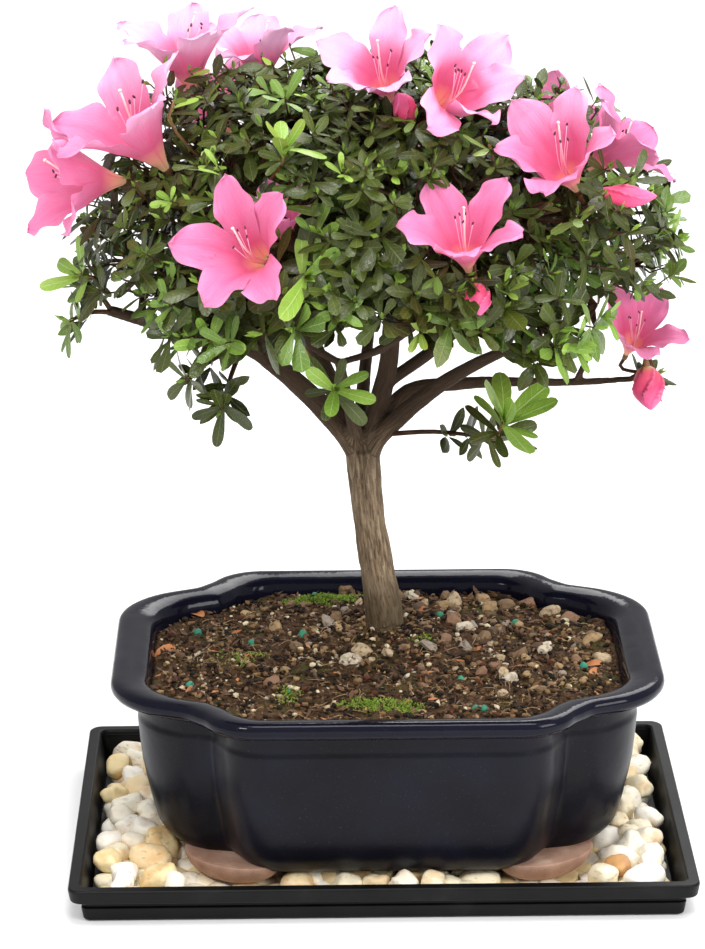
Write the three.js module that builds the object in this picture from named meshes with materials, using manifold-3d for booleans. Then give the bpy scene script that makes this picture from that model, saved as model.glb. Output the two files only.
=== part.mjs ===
// A satsuki azalea bonsai in bloom: a lobed glazed pot with unglazed feet stands on a pebble bed in a low tray.
// Millimetres, +Z up. The origin is the centre of the tray's underside, +X is the viewer's right, +Y the back.
import * as THREE from "three";
import { mergeVertices } from "three/addons/utils/BufferGeometryUtils.js";
import Module from "manifold-3d";

const wasm = await Module();
wasm.setup();

// Driving dimensions
const GAP = 0.35; // clearance between two pieces that touch
const TRAY = { width: 285, depth: 192, height: 18, wall: 2, corner: 6 };
const POT = { x: 3, y: 4, halfWidth: 127, halfDepth: 100, floor: 15, inside: 21, rim: 97.5 };
const FOOT = { x: 66, y: 59, long: 27, wide: 17, rest: 7.6 };
const DRAIN = { x: 36, radius: 9, screen: 30, bar: 2.5, thick: 1 };
const SOIL = { edge: 88, mound: 4.5, spread: 52, grains: 6 };
const PEBBLES = { bed: 7.2, spacing: 19.5 };
const TRUNK = { x: 3.3, y: 38, buried: 62 };
const CROWN = { x: 0, y: 28, z: 262, rx: 141, ry: 97, up: 106, down: 46, power: 2.3 };
const LEAF = { long: 33, wide: 16, thick: 2.8 };
const WHORLS = 72; // leafy shoots spread over the crown
const COLOURS = {
  tray: 0x2b2a2a,
  pebble: 0xe9dcc2,
  glaze: 0x1b1b2a,
  screen: 0x22342a,
  soil: 0x4f3c2c,
  bark: 0x5f4a3a,
  leaf: 0x35502a,
  shoot: 0x8db53c,
  petal: 0xf07ab2,
  bud: 0xd8486f,
};

// One seeded generator, so that each run places the same leaves and stones
function random(seed) {
  let state = seed >>> 0;
  return () => {
    state = (Math.imul(state, 1664525) + 1013904223) >>> 0;
    return state / 4294967296;
  };
}

const vec = (x, y, z) => new THREE.Vector3(x, y, z);
const mix = (a, b, t) => a + (b - a) * t;

// Closed meshes to solids and back
function solidOf(geometry, tolerance = 1e-4) {
  const bare = geometry.clone();
  bare.deleteAttribute("normal");
  bare.deleteAttribute("uv");
  const merged = mergeVertices(bare, tolerance);
  return new wasm.Manifold(
    new wasm.Mesh({
      numProp: 3,
      vertProperties: new Float32Array(merged.attributes.position.array),
      triVerts: new Uint32Array(merged.index.array),
    }),
  );
}

function geometryOf(solid) {
  const mesh = solid.getMesh();
  const stride = mesh.numProp;
  const points = new Float32Array(mesh.numVert * 3);
  for (let i = 0; i < mesh.numVert; i++)
    points.set(mesh.vertProperties.subarray(i * stride, i * stride + 3), i * 3);
  const geometry = new THREE.BufferGeometry();
  geometry.setAttribute("position", new THREE.BufferAttribute(points, 3));
  geometry.setIndex(new THREE.BufferAttribute(new Uint32Array(mesh.triVerts), 1));
  geometry.computeVertexNormals();
  return geometry;
}

function meshSolid(points, faces) {
  const geometry = new THREE.BufferGeometry();
  geometry.setAttribute("position", new THREE.Float32BufferAttribute(points.flatMap((p) => p.toArray()), 3));
  geometry.setIndex(faces.flat());
  return solidOf(geometry);
}

const SLIVER = 0.04; // joins leave triangles finer than this, which are merged away
const union = (solids) => solids.reduce((sum, next) => sum.add(next)).simplify(SLIVER);
const largest = (solid) => solid.decompose().reduce((a, b) => (b.volume() > a.volume() ? b : a));

// A solid through closed rings of equal count, each counter-clockwise round the way the rings travel
function loft(rings) {
  const count = rings[0].length;
  const points = rings.flat();
  const faces = [];
  for (let k = 0; k + 1 < rings.length; k++)
    for (let i = 0; i < count; i++) {
      const a = k * count + i;
      const b = k * count + ((i + 1) % count);
      faces.push([a, b, b + count], [a, b + count, a + count]);
    }
  const middle = (ring) => ring.reduce((sum, p) => sum.add(p), vec(0, 0, 0)).divideScalar(count);
  const first = points.push(middle(rings[0])) - 1;
  const last = points.push(middle(rings.at(-1))) - 1;
  const top = (rings.length - 1) * count;
  for (let i = 0; i < count; i++) {
    const j = (i + 1) % count;
    faces.push([first, j, i], [last, top + i, top + j]);
  }
  return meshSolid(points, faces);
}

// A limb along a smooth curve through points, thinning from one radius to the next
function limb(points, radii, sides, steps) {
  const curve = new THREE.CatmullRomCurve3(points);
  const frames = curve.computeFrenetFrames(steps, false);
  const rings = [];
  for (let k = 0; k <= steps; k++) {
    const centre = curve.getPointAt(k / steps);
    const place = (k / steps) * (radii.length - 1);
    const low = Math.min(Math.floor(place), radii.length - 2);
    const radius = mix(radii[low], radii[low + 1], place - low);
    const ring = [];
    for (let i = 0; i < sides; i++) {
      const turn = (i / sides) * 2 * Math.PI;
      ring.push(
        centre
          .clone()
          .addScaledVector(frames.normals[k], Math.cos(turn) * radius)
          .addScaledVector(frames.binormals[k], Math.sin(turn) * radius),
      );
    }
    rings.push(ring);
  }
  return loft(rings);
}

// Places a solid made along its own +Z at a point, facing a direction, turned about that direction
function placement(at, facing, roll = 0) {
  const turn = new THREE.Quaternion().setFromUnitVectors(vec(0, 0, 1), facing.clone().normalize());
  turn.multiply(new THREE.Quaternion().setFromAxisAngle(vec(0, 0, 1), roll));
  return new THREE.Matrix4().compose(at, turn, vec(1, 1, 1));
}

// Tray: a hanging lip over a wall that steps out into a moulded base
function rectangleLoop(inset, z) {
  const halfWidth = TRAY.width / 2 - inset;
  const halfDepth = TRAY.depth / 2 - inset;
  const radius = Math.max(TRAY.corner - inset * 0.5, 2);
  const loop = [];
  const corners = [
    [1, 1, 0],
    [-1, 1, 1],
    [-1, -1, 2],
    [1, -1, 3],
  ];
  for (const [sx, sy, quarter] of corners)
    for (const part of [0, 0.5, 1]) {
      const angle = ((quarter + part) * Math.PI) / 2;
      loop.push(
        vec(
          sx * (halfWidth - radius) + radius * Math.cos(angle),
          sy * (halfDepth - radius) + radius * Math.sin(angle),
          z,
        ),
      );
    }
  return loop;
}

function tray() {
  const top = TRAY.height;
  const profile = [
    [8.2, 0],
    [6.6, 1.2],
    [5.6, 7],
    [6.8, 7.6],
    [6.4, top - TRAY.wall],
    [2.4, top - TRAY.wall],
    [2.6, 11.4],
    [0.9, 11.4],
    [0, top - 0.8],
    [0.7, top],
    [5.2, top],
    [6, top - 1],
    [9, TRAY.wall],
  ];
  return loft(profile.map(([inset, z]) => rectangleLoop(inset, z)));
}

// Pot outline: long front and back lobes and rounder end lobes that meet at four notches, for one scale
function potLoop(scale, z, grow = 0) {
  const lobe = { x: 60, y: 76, rx: 25, ry: 24 };
  const end = { x: 88, y: 38, rx: 39, ry: 37 };
  const quarter = [];
  const arc = (shape, from, to, count) => {
    for (let i = 0; i < count; i++) {
      const angle = THREE.MathUtils.degToRad(mix(from, to, i / (count - 1)));
      quarter.push([shape.x + shape.rx * Math.cos(angle), shape.y + shape.ry * Math.sin(angle)]);
    }
  };
  arc(end, 0, 66, 4);
  quarter.push([92, 77.5]);
  arc(lobe, 24, 90, 3);
  const whole = [
    ...quarter,
    ...quarter.map(([x, y]) => [-x, y]).reverse(),
    ...quarter.map(([x, y]) => [-x, -y]),
    ...quarter.map(([x, y]) => [x, -y]).reverse(),
  ];
  const wide = scale + grow / POT.halfWidth;
  const deep = scale + grow / POT.halfDepth;
  return whole.map(([x, y]) => vec(POT.x + x * wide, POT.y + y * deep, z));
}

// Scale of the pot's inner wall at a height
const innerWall = [
  [POT.inside, 0.7],
  [38, 0.8],
  [90, 0.858],
];
function innerScale(z) {
  for (let i = 1; i < innerWall.length; i++) {
    const [z0, s0] = innerWall[i - 1];
    const [z1, s1] = innerWall[i];
    if (z <= z1) return mix(s0, s1, (z - z0) / (z1 - z0));
  }
  return innerWall.at(-1)[1];
}

function foot(sx, sy) {
  const body = new THREE.SphereGeometry(1, 9, 6).scale(FOOT.long, FOOT.wide, 12.5);
  body.rotateZ(-sx * sy * THREE.MathUtils.degToRad(32));
  body.translate(POT.x + sx * FOOT.x, POT.y + sy * FOOT.y, POT.floor + 3);
  const below = new THREE.BoxGeometry(90, 90, 20).translate(
    POT.x + sx * FOOT.x,
    POT.y + sy * FOOT.y,
    FOOT.rest - 10,
  );
  const above = new THREE.BoxGeometry(90, 90, 20).translate(
    POT.x + sx * FOOT.x,
    POT.y + sy * FOOT.y,
    POT.inside - 2.5 + 10,
  );
  return solidOf(body).subtract(solidOf(below)).subtract(solidOf(above));
}

function pot() {
  const rim = POT.rim;
  const outside = [
    [0.72, POT.floor - 0.6],
    [0.775, POT.floor + 1],
    [0.838, 25],
    [0.866, 40],
    [0.893, 56],
    [0.902, 84],
    [0.912, 88.5],
  ];
  const lip = [
    [0.975, rim - 8.2],
    [1, rim - 5],
    [0.99, rim - 0.8],
    [0.95, rim],
    [0.885, rim - 1.6],
  ];
  const inside = innerWall.map(([z, scale]) => [scale, z]).reverse();
  let body = loft([...outside, ...lip, ...inside].map(([scale, z]) => potLoop(scale, z)));
  for (const sx of [-1, 1]) {
    for (const sy of [-1, 1]) body = body.add(foot(sx, sy));
    const hole = new THREE.CylinderGeometry(DRAIN.radius, DRAIN.radius, 30, 12).rotateX(Math.PI / 2);
    body = body.subtract(solidOf(hole.translate(POT.x + sx * DRAIN.x, POT.y, POT.floor)));
  }
  return body;
}

// A plastic screen over each drainage hole, under the soil
function screenPlate(side, grow = 0) {
  const size = DRAIN.screen + 2 * grow;
  const z = POT.inside + GAP + DRAIN.thick / 2;
  const plate = new THREE.BoxGeometry(size, size, DRAIN.thick + 2 * grow);
  return plate.translate(POT.x + side * DRAIN.x, POT.y, z);
}

function screen(side) {
  let plate = solidOf(screenPlate(side));
  const pitch = DRAIN.screen / 2;
  for (const column of [-0.5, 0.5])
    for (const row of [-0.5, 0.5]) {
      const hole = new THREE.BoxGeometry(pitch - DRAIN.bar, pitch - DRAIN.bar, 9);
      hole.translate(POT.x + side * DRAIN.x + column * pitch, POT.y + row * pitch, POT.inside);
      plate = plate.subtract(solidOf(hole));
    }
  return plate;
}

// A worn stone: a low polyhedron, squashed and turned
function stone(rnd, size, flat) {
  const shape = new THREE.IcosahedronGeometry(1, 0);
  shape.rotateX(rnd() * 3).rotateY(rnd() * 3);
  shape.scale(size * mix(1, 1.25, rnd()), size * mix(0.8, 1, rnd()), size * flat * mix(0.8, 1.1, rnd()));
  return shape.rotateZ(rnd() * Math.PI);
}

// Pebble bed: a base layer with faceted stones sunk into it, low under the pot and heaped round it
function pebbles() {
  const rnd = random(11);
  const base = TRAY.wall + GAP;
  const stones = [loft([rectangleLoop(9 + GAP, base), rectangleLoop(8.2 + GAP, PEBBLES.bed)])];
  const halfWidth = TRAY.width / 2 - 18.5;
  const halfDepth = TRAY.depth / 2 - 18.5;
  const columns = Math.round((2 * halfWidth) / PEBBLES.spacing);
  const rows = Math.round((2 * halfDepth) / (PEBBLES.spacing * 0.88));
  for (let row = 0; row <= rows; row++)
    for (let column = 0; column <= columns; column++) {
      const shift = row % 2 ? 0.5 : 0;
      const across = Math.min((column + shift) / columns, 1);
      const x = mix(-halfWidth, halfWidth, across) + (rnd() - 0.5) * 2;
      const y = mix(-halfDepth, halfDepth, row / rows) + (rnd() - 0.5) * 2;
      const size = mix(8.2, 9.6, rnd());
      const turn = rnd() * Math.PI;
      const lean = (rnd() - 0.5) * 0.22;
      const aspect = mix(0.8, 1, rnd());
      const reach = Math.max(Math.abs(x - POT.x) / 92, Math.abs(y - POT.y) / 70);
      const atFoot = Math.hypot((Math.abs(x - POT.x) - FOOT.x) / 38, (Math.abs(y - POT.y) - FOOT.y) / 33) < 1;
      if (reach < 0.72 || atFoot) continue;
      const high = reach > 1.22 ? 9.2 : 5.8;
      const shape = new THREE.CylinderGeometry(size * 0.52, size, high + 2.5, 5).rotateX(Math.PI / 2);
      shape.rotateZ(turn).scale(1, aspect, 1).rotateX(lean).rotateY(-lean);
      stones.push(solidOf(shape.translate(x, y, PEBBLES.bed + (high - 2.5) / 2)));
    }
  return largest(union(stones));
}

// Trunk and branches: main limbs as the tree grew them, then one branch to each leafy clump
const MAIN_LIMBS = [
  {
    path: [vec(4, 38, TRUNK.buried), vec(3.3, 38, 94), vec(-0.9, 38, 126), vec(-5, 38, 156), vec(-7, 38, 182)],
    radii: [10, 9.2, 7.9, 7.6, 8.4],
    sides: 9,
    steps: 6,
  },
  {
    path: [vec(-5, 38, 172), vec(-13, 37, 187), vec(-36, 28, 216), vec(-61, 18, 239), vec(-82, 14, 245), vec(-123, 12, 258)],
    radii: [6.2, 5.4, 4.7, 4.1, 3.4, 2.6],
    sides: 6,
    steps: 8,
  },
  { path: [vec(-50, 22, 229), vec(-53, 18, 250), vec(-60, 8, 272)], radii: [3.4, 3, 2.6], sides: 5, steps: 2 },
  {
    path: [vec(-7, 38, 176), vec(-12, 40, 192), vec(-20, 46, 208), vec(-30, 56, 228), vec(-44, 72, 256)],
    radii: [5.6, 4.6, 4.2, 3.8, 3],
    sides: 6,
    steps: 4,
  },
  {
    path: [vec(-5, 38, 176), vec(1, 38, 205), vec(5, 37, 222), vec(7, 34, 255), vec(8, 30, 296)],
    radii: [5.8, 4.8, 4.2, 3.6, 2.6],
    sides: 6,
    steps: 5,
  },
  {
    path: [vec(-5, 38, 174), vec(-1, 36, 186), vec(11, 29, 201), vec(25, 19, 216), vec(42, 4, 232), vec(60, -12, 246)],
    radii: [6, 5.4, 4.8, 4.2, 3.4, 2.6],
    sides: 6,
    steps: 5,
  },
  {
    path: [vec(0, 38, 188), vec(13, 42, 208), vec(40, 42, 212), vec(65, 36, 214.5), vec(91, 30, 216), vec(119, 25, 219)],
    radii: [4, 3.5, 3, 2.3, 1.8, 1.4],
    sides: 5,
    steps: 7,
  },
  {
    path: [vec(4, 38, 214), vec(21, 50, 222), vec(36, 62, 230), vec(58, 76, 246)],
    radii: [3.4, 3, 2.6, 2.2],
    sides: 5,
    steps: 3,
  },
  { path: [vec(-8, 40, 186), vec(-6, 62, 206), vec(-2, 84, 232)], radii: [3.8, 3.2, 2.4], sides: 5, steps: 3 },
  { path: [vec(-10, 34, 190), vec(-14, 10, 214), vec(-18, -14, 240)], radii: [3.4, 2.8, 2.2], sides: 5, steps: 3 },
  { path: [vec(92, 30, 216), vec(96, 28, 226), vec(101, 24, 242)], radii: [1.6, 1.5, 1.4], sides: 4, steps: 2 },
];
const ROOTS = [15, 110, 200, 290];

// Leafy clumps: where each sits in the crown, clear of the limbs that pass below and between them
const LOW = vec(25, 21, 14);
const HIGH = vec(28, 23, 15);
const CLUMPS = [
  { at: vec(98, 42, 257), size: LOW },
  { at: vec(54, 82, 259), size: LOW },
  { at: vec(-8, 92, 258), size: LOW },
  { at: vec(-68, 80, 259), size: LOW },
  { at: vec(-108, 46, 264), size: LOW },
  { at: vec(-98, -14, 274), size: LOW },
  { at: vec(-42, -34, 266), size: LOW },
  { at: vec(17, -36, 264), size: LOW },
  { at: vec(76, -20, 259), size: LOW },
  { at: vec(52, 44, 303), size: HIGH },
  { at: vec(-46, 62, 303), size: HIGH },
  { at: vec(-60, 8, 309), size: HIGH },
  { at: vec(40, -14, 304), size: HIGH },
  { at: vec(-4, 34, 334), size: vec(28, 23, 13) },
];

function clumpCore(clump, index, grow = 0) {
  const shape = new THREE.IcosahedronGeometry(1.08, 0);
  const position = shape.attributes.position;
  for (let i = 0; i < position.count; i++) {
    const p = vec(position.getX(i), position.getY(i), position.getZ(i));
    const bump = 1 + 0.13 * Math.sin(5 * p.x + 3 * p.z + index) * Math.cos(4 * p.y - 2 * p.z + 2 * index);
    position.setXYZ(i, p.x * bump * (clump.size.x + grow), p.y * bump * (clump.size.y + grow), p.z * bump * (clump.size.z + grow));
  }
  return solidOf(shape.translate(clump.at.x, clump.at.y, clump.at.z));
}

// Points along the main limbs where a side branch may start
function forks() {
  const found = [];
  for (const { path, radii } of MAIN_LIMBS.slice(1)) {
    const curve = new THREE.CatmullRomCurve3(path);
    for (let k = 2; k <= 10; k++) {
      const at = curve.getPointAt(k / 10);
      found.push({ at, radius: mix(radii[0], radii.at(-1), k / 10) });
    }
  }
  return found;
}

function sideBranches() {
  const starts = forks();
  return CLUMPS.map(({ at }) => {
    const cost = (fork) => fork.at.distanceTo(at) + 2.5 * Math.max(0, fork.at.z - at.z + 12);
    const fork = starts.reduce((a, b) => (cost(b) < cost(a) ? b : a));
    const middle = fork.at.clone().lerp(at, 0.5).add(vec(0, 0, -0.06 * fork.at.distanceTo(at)));
    const root = fork.at.clone();
    return { path: [root, middle, at.clone()], radii: [Math.min(fork.radius * 0.75, 2.8), 2, 1.5], sides: 4, steps: 2 };
  });
}

function trunkSolid(grow = 0) {
  const limbs = [...MAIN_LIMBS, ...sideBranches()];
  const solids = limbs.map(({ path, radii, sides, steps }) => limb(path, radii.map((r) => r + grow), sides, steps));
  for (const degrees of ROOTS) {
    const angle = THREE.MathUtils.degToRad(degrees);
    const way = (reach, z) => vec(TRUNK.x + reach * Math.cos(angle), TRUNK.y + reach * Math.sin(angle), z);
    const path = [way(1, 88), way(12, 83), way(24, 66)];
    solids.push(limb(path, [7, 4.6, 2].map((r) => r + grow), 4, 2));
  }
  return union(solids);
}

// Soil: fills the pot, mounded at the trunk, with coarse grains lying on it
function soilHeight(x, y) {
  const reach = Math.hypot(x - TRUNK.x, y - TRUNK.y) / SOIL.spread;
  const ripple = Math.sin(x * 0.21 + y * 0.13) * Math.cos(y * 0.24 - x * 0.09);
  return SOIL.edge + SOIL.mound * Math.exp(-reach * reach) + 0.9 * ripple;
}

function soil() {
  const side = [POT.inside + GAP, 38, 80].map((z) => potLoop(innerScale(z), z, -GAP));
  const top = [1, 0.72, 0.42, 0.16].map((share) =>
    potLoop(innerScale(SOIL.edge) * share, 0, -GAP * share).map((p) => p.setZ(soilHeight(p.x, p.y))),
  );
  let body = loft([...side, ...top]);
  const rnd = random(23);
  const grains = [];
  for (let i = 0; i < SOIL.grains; i++) {
    const angle = rnd() * 2 * Math.PI;
    const reach = Math.sqrt(mix(0.12, 0.9, rnd()));
    const x = POT.x + 94 * reach * Math.cos(angle);
    const y = POT.y + 70 * reach * Math.sin(angle);
    const grain = stone(rnd, mix(2.2, 3.8, rnd()), 0.8);
    grains.push(solidOf(grain.translate(x, y, soilHeight(x, y) + 0.4)));
  }
  body = union([body, ...grains]);
  for (const side of [-1, 1]) body = body.subtract(solidOf(screenPlate(side, GAP)));
  return largest(body.subtract(trunkSolid(GAP))).simplify(SLIVER);
}

// A whorl of leaves: drooping blades round one shoot tip, each a kite folded along its rib, in one thin star
function whorl({ leaves, long, wide, tilt, seed, thick = LEAF.thick }) {
  const rnd = random(seed * 7919 + 13);
  const points = [vec(0, 0, 0.5 * thick), vec(0, 0, -0.5 * thick)];
  const faces = [];
  const step = (2 * Math.PI) / leaves;
  const corners = 4;
  for (let i = 0; i < leaves; i++) {
    const azimuth = i * step + (rnd() - 0.5) * 0.35 * step;
    const lean = tilt + (rnd() - 0.5) * 0.3;
    const length = long * mix(0.78, 1.06, rnd());
    const width = wide * mix(0.85, 1.1, rnd());
    const across = vec(-Math.sin(azimuth), Math.cos(azimuth), 0);
    const along = vec(Math.cos(azimuth) * Math.sin(lean), Math.sin(azimuth) * Math.sin(lean), Math.cos(lean));
    const up = across.clone().cross(along).negate();
    const at = (share, side, rise) =>
      along
        .clone()
        .multiplyScalar(share * length)
        .addScaledVector(across, side * width)
        .addScaledVector(up, rise);
    const valley = (i + 0.5) * step;
    const first = points.length;
    points.push(
      at(0.6, -0.5, -1.2),
      at(1, 0, -0.06 * length),
      at(0.6, 0.5, -1.2),
      vec(3 * Math.cos(valley), 3 * Math.sin(valley), 0.2),
    );
    const before = i ? first - 1 : 1 + corners * leaves;
    const rim = [before, first, first + 1, first + 2, first + 3];
    for (let k = 0; k + 1 < rim.length; k++) faces.push([rim[k], rim[k + 1], 0], [rim[k + 1], rim[k], 1]);
  }
  return meshSolid(points, faces);
}

function placed(solid, at, facing, roll = 0) {
  return solid.transform(placement(at, facing, roll).elements);
}

// Crown surface in a direction, as a share of its full reach
function crownPoint(direction, share) {
  const down = direction.z < 0 ? CROWN.down : CROWN.up;
  const sum =
    Math.abs(direction.x / CROWN.rx) ** CROWN.power +
    Math.abs(direction.y / CROWN.ry) ** CROWN.power +
    Math.abs(direction.z / down) ** CROWN.power;
  const reach = share / sum ** (1 / CROWN.power);
  return direction.clone().multiplyScalar(reach).add(vec(CROWN.x, CROWN.y, CROWN.z));
}

// Shoot tips: spread evenly over the dome by the golden angle, down to its drooping skirt
function shootTips() {
  const tips = [];
  for (let k = 0; k < WHORLS; k++) {
    const height = mix(0.97, -0.42, (k + 0.5) / WHORLS);
    const angle = k * Math.PI * (3 - Math.sqrt(5));
    const flat = Math.sqrt(1 - height * height);
    const direction = vec(flat * Math.cos(angle), flat * Math.sin(angle), height);
    const at = crownPoint(direction, 0.86 + 0.05 * Math.sin(k * 2.4));
    const nearest = CLUMPS.reduce((best, clump, i) => {
      const d = at.clone().sub(clump.at).divide(clump.size).length();
      return d < best.d ? { d, i } : best;
    }, { d: Infinity, i: 0 });
    tips.push({ at, facing: direction.clone().add(vec(0, 0, 0.35)).normalize(), clump: nearest.i, seed: k + 1 });
  }
  return tips;
}

// Blooms: the throat, the way it faces, its size, how far it has opened and its turn
const BLOOM_SIZE = 0.74;
const TUBE = 19;
const BLOOMS = [
  { name: "upper_left", at: vec(-98, -10, 334), facing: vec(-0.5, -0.5, 0.7), size: 1.22, open: 0.75, roll: 0.3 },
  { name: "far_left", at: vec(-118, -4, 322), facing: vec(-0.75, -0.62, -0.15), size: 1.2, open: 0.8, roll: 0.9 },
  { name: "front_left", at: vec(-53, -54, 301), facing: vec(-0.28, -0.9, 0.32), size: 1.06, open: 1, roll: 0.1 },
  { name: "front_left_rear", at: vec(-39, -36, 308), facing: vec(0.6, -0.6, 0.5), size: 0.85, open: 0.5, roll: 0.5 },
  { name: "top_left", at: vec(-84, 22, 368), facing: vec(-0.12, -0.35, 0.93), size: 1.06, open: 0.8, roll: 0.2 },
  { name: "top_rear", at: vec(-50, 48, 368), facing: vec(0.1, -0.1, 0.97), size: 0.95, open: 0.7, roll: 0.7 },
  { name: "top_centre", at: vec(2, 0, 366), facing: vec(-0.32, -0.5, 0.8), size: 1.15, open: 0.85, roll: 0.55 },
  { name: "top_right", at: vec(25, -12, 358), facing: vec(0.4, -0.55, 0.74), size: 1.25, open: 0.85, roll: 0.15 },
  { name: "right_upper", at: vec(88, -25, 327), facing: vec(-0.22, -0.66, 0.72), size: 1.22, open: 0.9, roll: 0.4 },
  { name: "right_rear", at: vec(104, 10, 334), facing: vec(0.6, -0.3, 0.74), size: 1.1, open: 0.8, roll: 0.85 },
  { name: "front_centre", at: vec(39, -58, 301), facing: vec(-0.02, -0.62, 0.78), size: 1.08, open: 0.75, roll: 0.63 },
  { name: "low_right", at: vec(119, 16, 241), facing: vec(0.3, -0.5, 0.8), size: 0.95, open: 0.6, roll: 0.1 },
  { name: "back_left", at: vec(-72, 104, 326), facing: vec(-0.38, 0.72, 0.58), size: 1.1, open: 0.85, roll: 0.2 },
  { name: "back_centre", at: vec(14, 120, 312), facing: vec(0.1, 0.86, 0.5), size: 1.15, open: 0.9, roll: 0.6 },
  { name: "back_right", at: vec(80, 98, 320), facing: vec(0.48, 0.68, 0.55), size: 1.05, open: 0.8, roll: 0.4 },
];

// A corolla: a funnel of five fused petals that part into broad lobes, with the pistil inside
function corolla(size, open, seed) {
  const rnd = random(seed * 101 + 7);
  const points = [];
  const faces = [];
  const wall = 0.9;
  const flare = mix(0.45, 1, open);
  const lobes = 5;
  const step = (2 * Math.PI) / lobes;
  const ring = (radius, z, count, turn = 0) => {
    const start = points.length;
    for (let i = 0; i < count; i++) {
      const angle = (i / count) * 2 * Math.PI + turn;
      points.push(vec(radius * Math.cos(angle), radius * Math.sin(angle), z));
    }
    return start;
  };
  const half = step / 2;
  const outer = ring(9.5 + 3 * flare, 20, 10);
  const inner = ring(8.4 + 3 * flare, 20.6, 10);
  const bottom = points.push(vec(0, 0, -1)) - 1;
  const well = points.push(vec(0, 0, 2.4)) - 1;
  const face = (a, b, c, inside) => faces.push(inside ? [c, b, a] : [a, b, c]);
  for (let i = 0; i < 10; i++) {
    face(bottom, outer + ((i + 1) % 10), outer + i, false);
    face(well, inner + ((i + 1) % 10), inner + i, true);
  }
  const valleys = [];
  for (let i = 0; i < lobes; i++) {
    const angle = i * step;
    valleys.push(points.push(vec((13 + 4 * flare) * Math.cos(angle), (13 + 4 * flare) * Math.sin(angle), 24.5)) - 1);
  }
  for (let i = 0; i < lobes; i++) {
    const angle = i * step + half + (rnd() - 0.5) * 0.16;
    const out = vec(Math.cos(angle), Math.sin(angle), 0);
    const across = vec(-Math.sin(angle), Math.cos(angle), 0);
    const lean = mix(0.5, 1.02, open) + (rnd() - 0.5) * 0.3;
    const along = out.clone().multiplyScalar(Math.sin(lean)).add(vec(0, 0, Math.cos(lean)));
    const back = out.clone().multiplyScalar(Math.cos(lean)).add(vec(0, 0, -Math.sin(lean)));
    const length = mix(25, 30, rnd());
    const root = out.clone().multiplyScalar(9 + 3 * flare).add(vec(0, 0, 20));
    const at = (share, side, curl) =>
      root
        .clone()
        .addScaledVector(along, share * length)
        .addScaledVector(across, side)
        .addScaledVector(back, curl);
    const width = mix(10.5, 12.5, rnd());
    const wave = (rnd() - 0.5) * 3;
    const rim = [
      at(0.42, -0.86 * width, -2.2),
      at(0.76, -0.98 * width, 0.6 + wave),
      at(0.98, -0.5 * width, 2.4),
      at(1.04, 0, 5.2 - wave),
      at(0.97, 0.52 * width, 2.2),
      at(0.74, 0.98 * width, 0.4 - wave),
      at(0.4, 0.86 * width, -2.2),
    ].map((p) => points.push(p) - 1);
    const left = valleys[i];
    const right = valleys[(i + 1) % lobes];
    const lip = [left, ...rim, right];
    for (const [ringStart, inside, depth] of [
      [outer, false, 1.4],
      [inner, true, 1.4 - wall],
    ]) {
      const middle = points.push(at(0.58, 0, depth)) - 1;
      const mouth = [ringStart + 2 * i, ringStart + 2 * i + 1, ringStart + ((2 * i + 2) % 10)];
      face(mouth[0], middle, left, inside);
      face(mouth[0], mouth[1], middle, inside);
      face(mouth[1], mouth[2], middle, inside);
      face(mouth[2], right, middle, inside);
      for (let k = 0; k + 1 < lip.length; k++) face(lip[k], middle, lip[k + 1], inside);
    }
  }
  const shell = meshSolid(points.map((p) => p.multiplyScalar(size)), faces);
  const lean = 5 * Math.sin(seed * 2.1);
  const pistil = limb([vec(0, 0, 1.6), vec(lean, 3, 36)].map((p) => p.multiplyScalar(size)), [0.8, 0.9], 3, 1);
  return shell.add(pistil);
}

function stalkTo(clump, at, facing, thick) {
  const back = at.clone().addScaledVector(facing.clone().normalize(), -7);
  const path = [clump.at.clone(), back, at.clone().addScaledVector(facing.clone().normalize(), 0.4)];
  return limb(path, [thick, thick, thick * 1.2], 3, 2);
}

const nearestClump = (at) => CLUMPS.reduce((a, b) => (b.at.distanceTo(at) < a.at.distanceTo(at) ? b : a));
const GROWN_CORES = CLUMPS.map((clump, i) => clumpCore(clump, i, GAP + 0.1));

function seated(solid) {
  const cut = GROWN_CORES.reduce((left, core) => left.subtract(core), solid);
  return largest(cut);
}

function bloom({ at, facing, size, open, roll }, index) {
  const scale = size * BLOOM_SIZE;
  const base = at.clone().addScaledVector(facing.clone().normalize(), -TUBE * scale);
  const flower = placed(corolla(scale, open, index + 1), base, facing, roll * 2 * Math.PI);
  return seated(flower.add(stalkTo(nearestClump(base), base, facing, 1.1)));
}

// Buds: a pointed spindle of folded petals on a short stalk
const BUDS = [
  { at: vec(14, -16, 351), facing: vec(-0.35, -0.4, 0.85), size: 0.9 },
  { at: vec(41, -60, 290), facing: vec(0.1, -0.6, -0.79), size: 1 },
  { at: vec(92, -20, 319), facing: vec(0.94, -0.3, 0.05), size: 1.5 },
  { at: vec(123, 14, 229), facing: vec(0.1, -0.3, -0.95), size: 1.05 },
];

function bud({ at, facing, size }) {
  const profile = [
    [0, 0],
    [3, 2],
    [5, 11],
    [3.4, 18],
    [0, 22],
  ].map(([r, z]) => new THREE.Vector2(r * size, z * size));
  const body = new THREE.LatheGeometry(profile, 5).rotateX(Math.PI / 2);
  const spindle = placed(solidOf(body), at, facing);
  return seated(spindle.add(stalkTo(nearestClump(at), at, facing, 0.9)));
}

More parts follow.
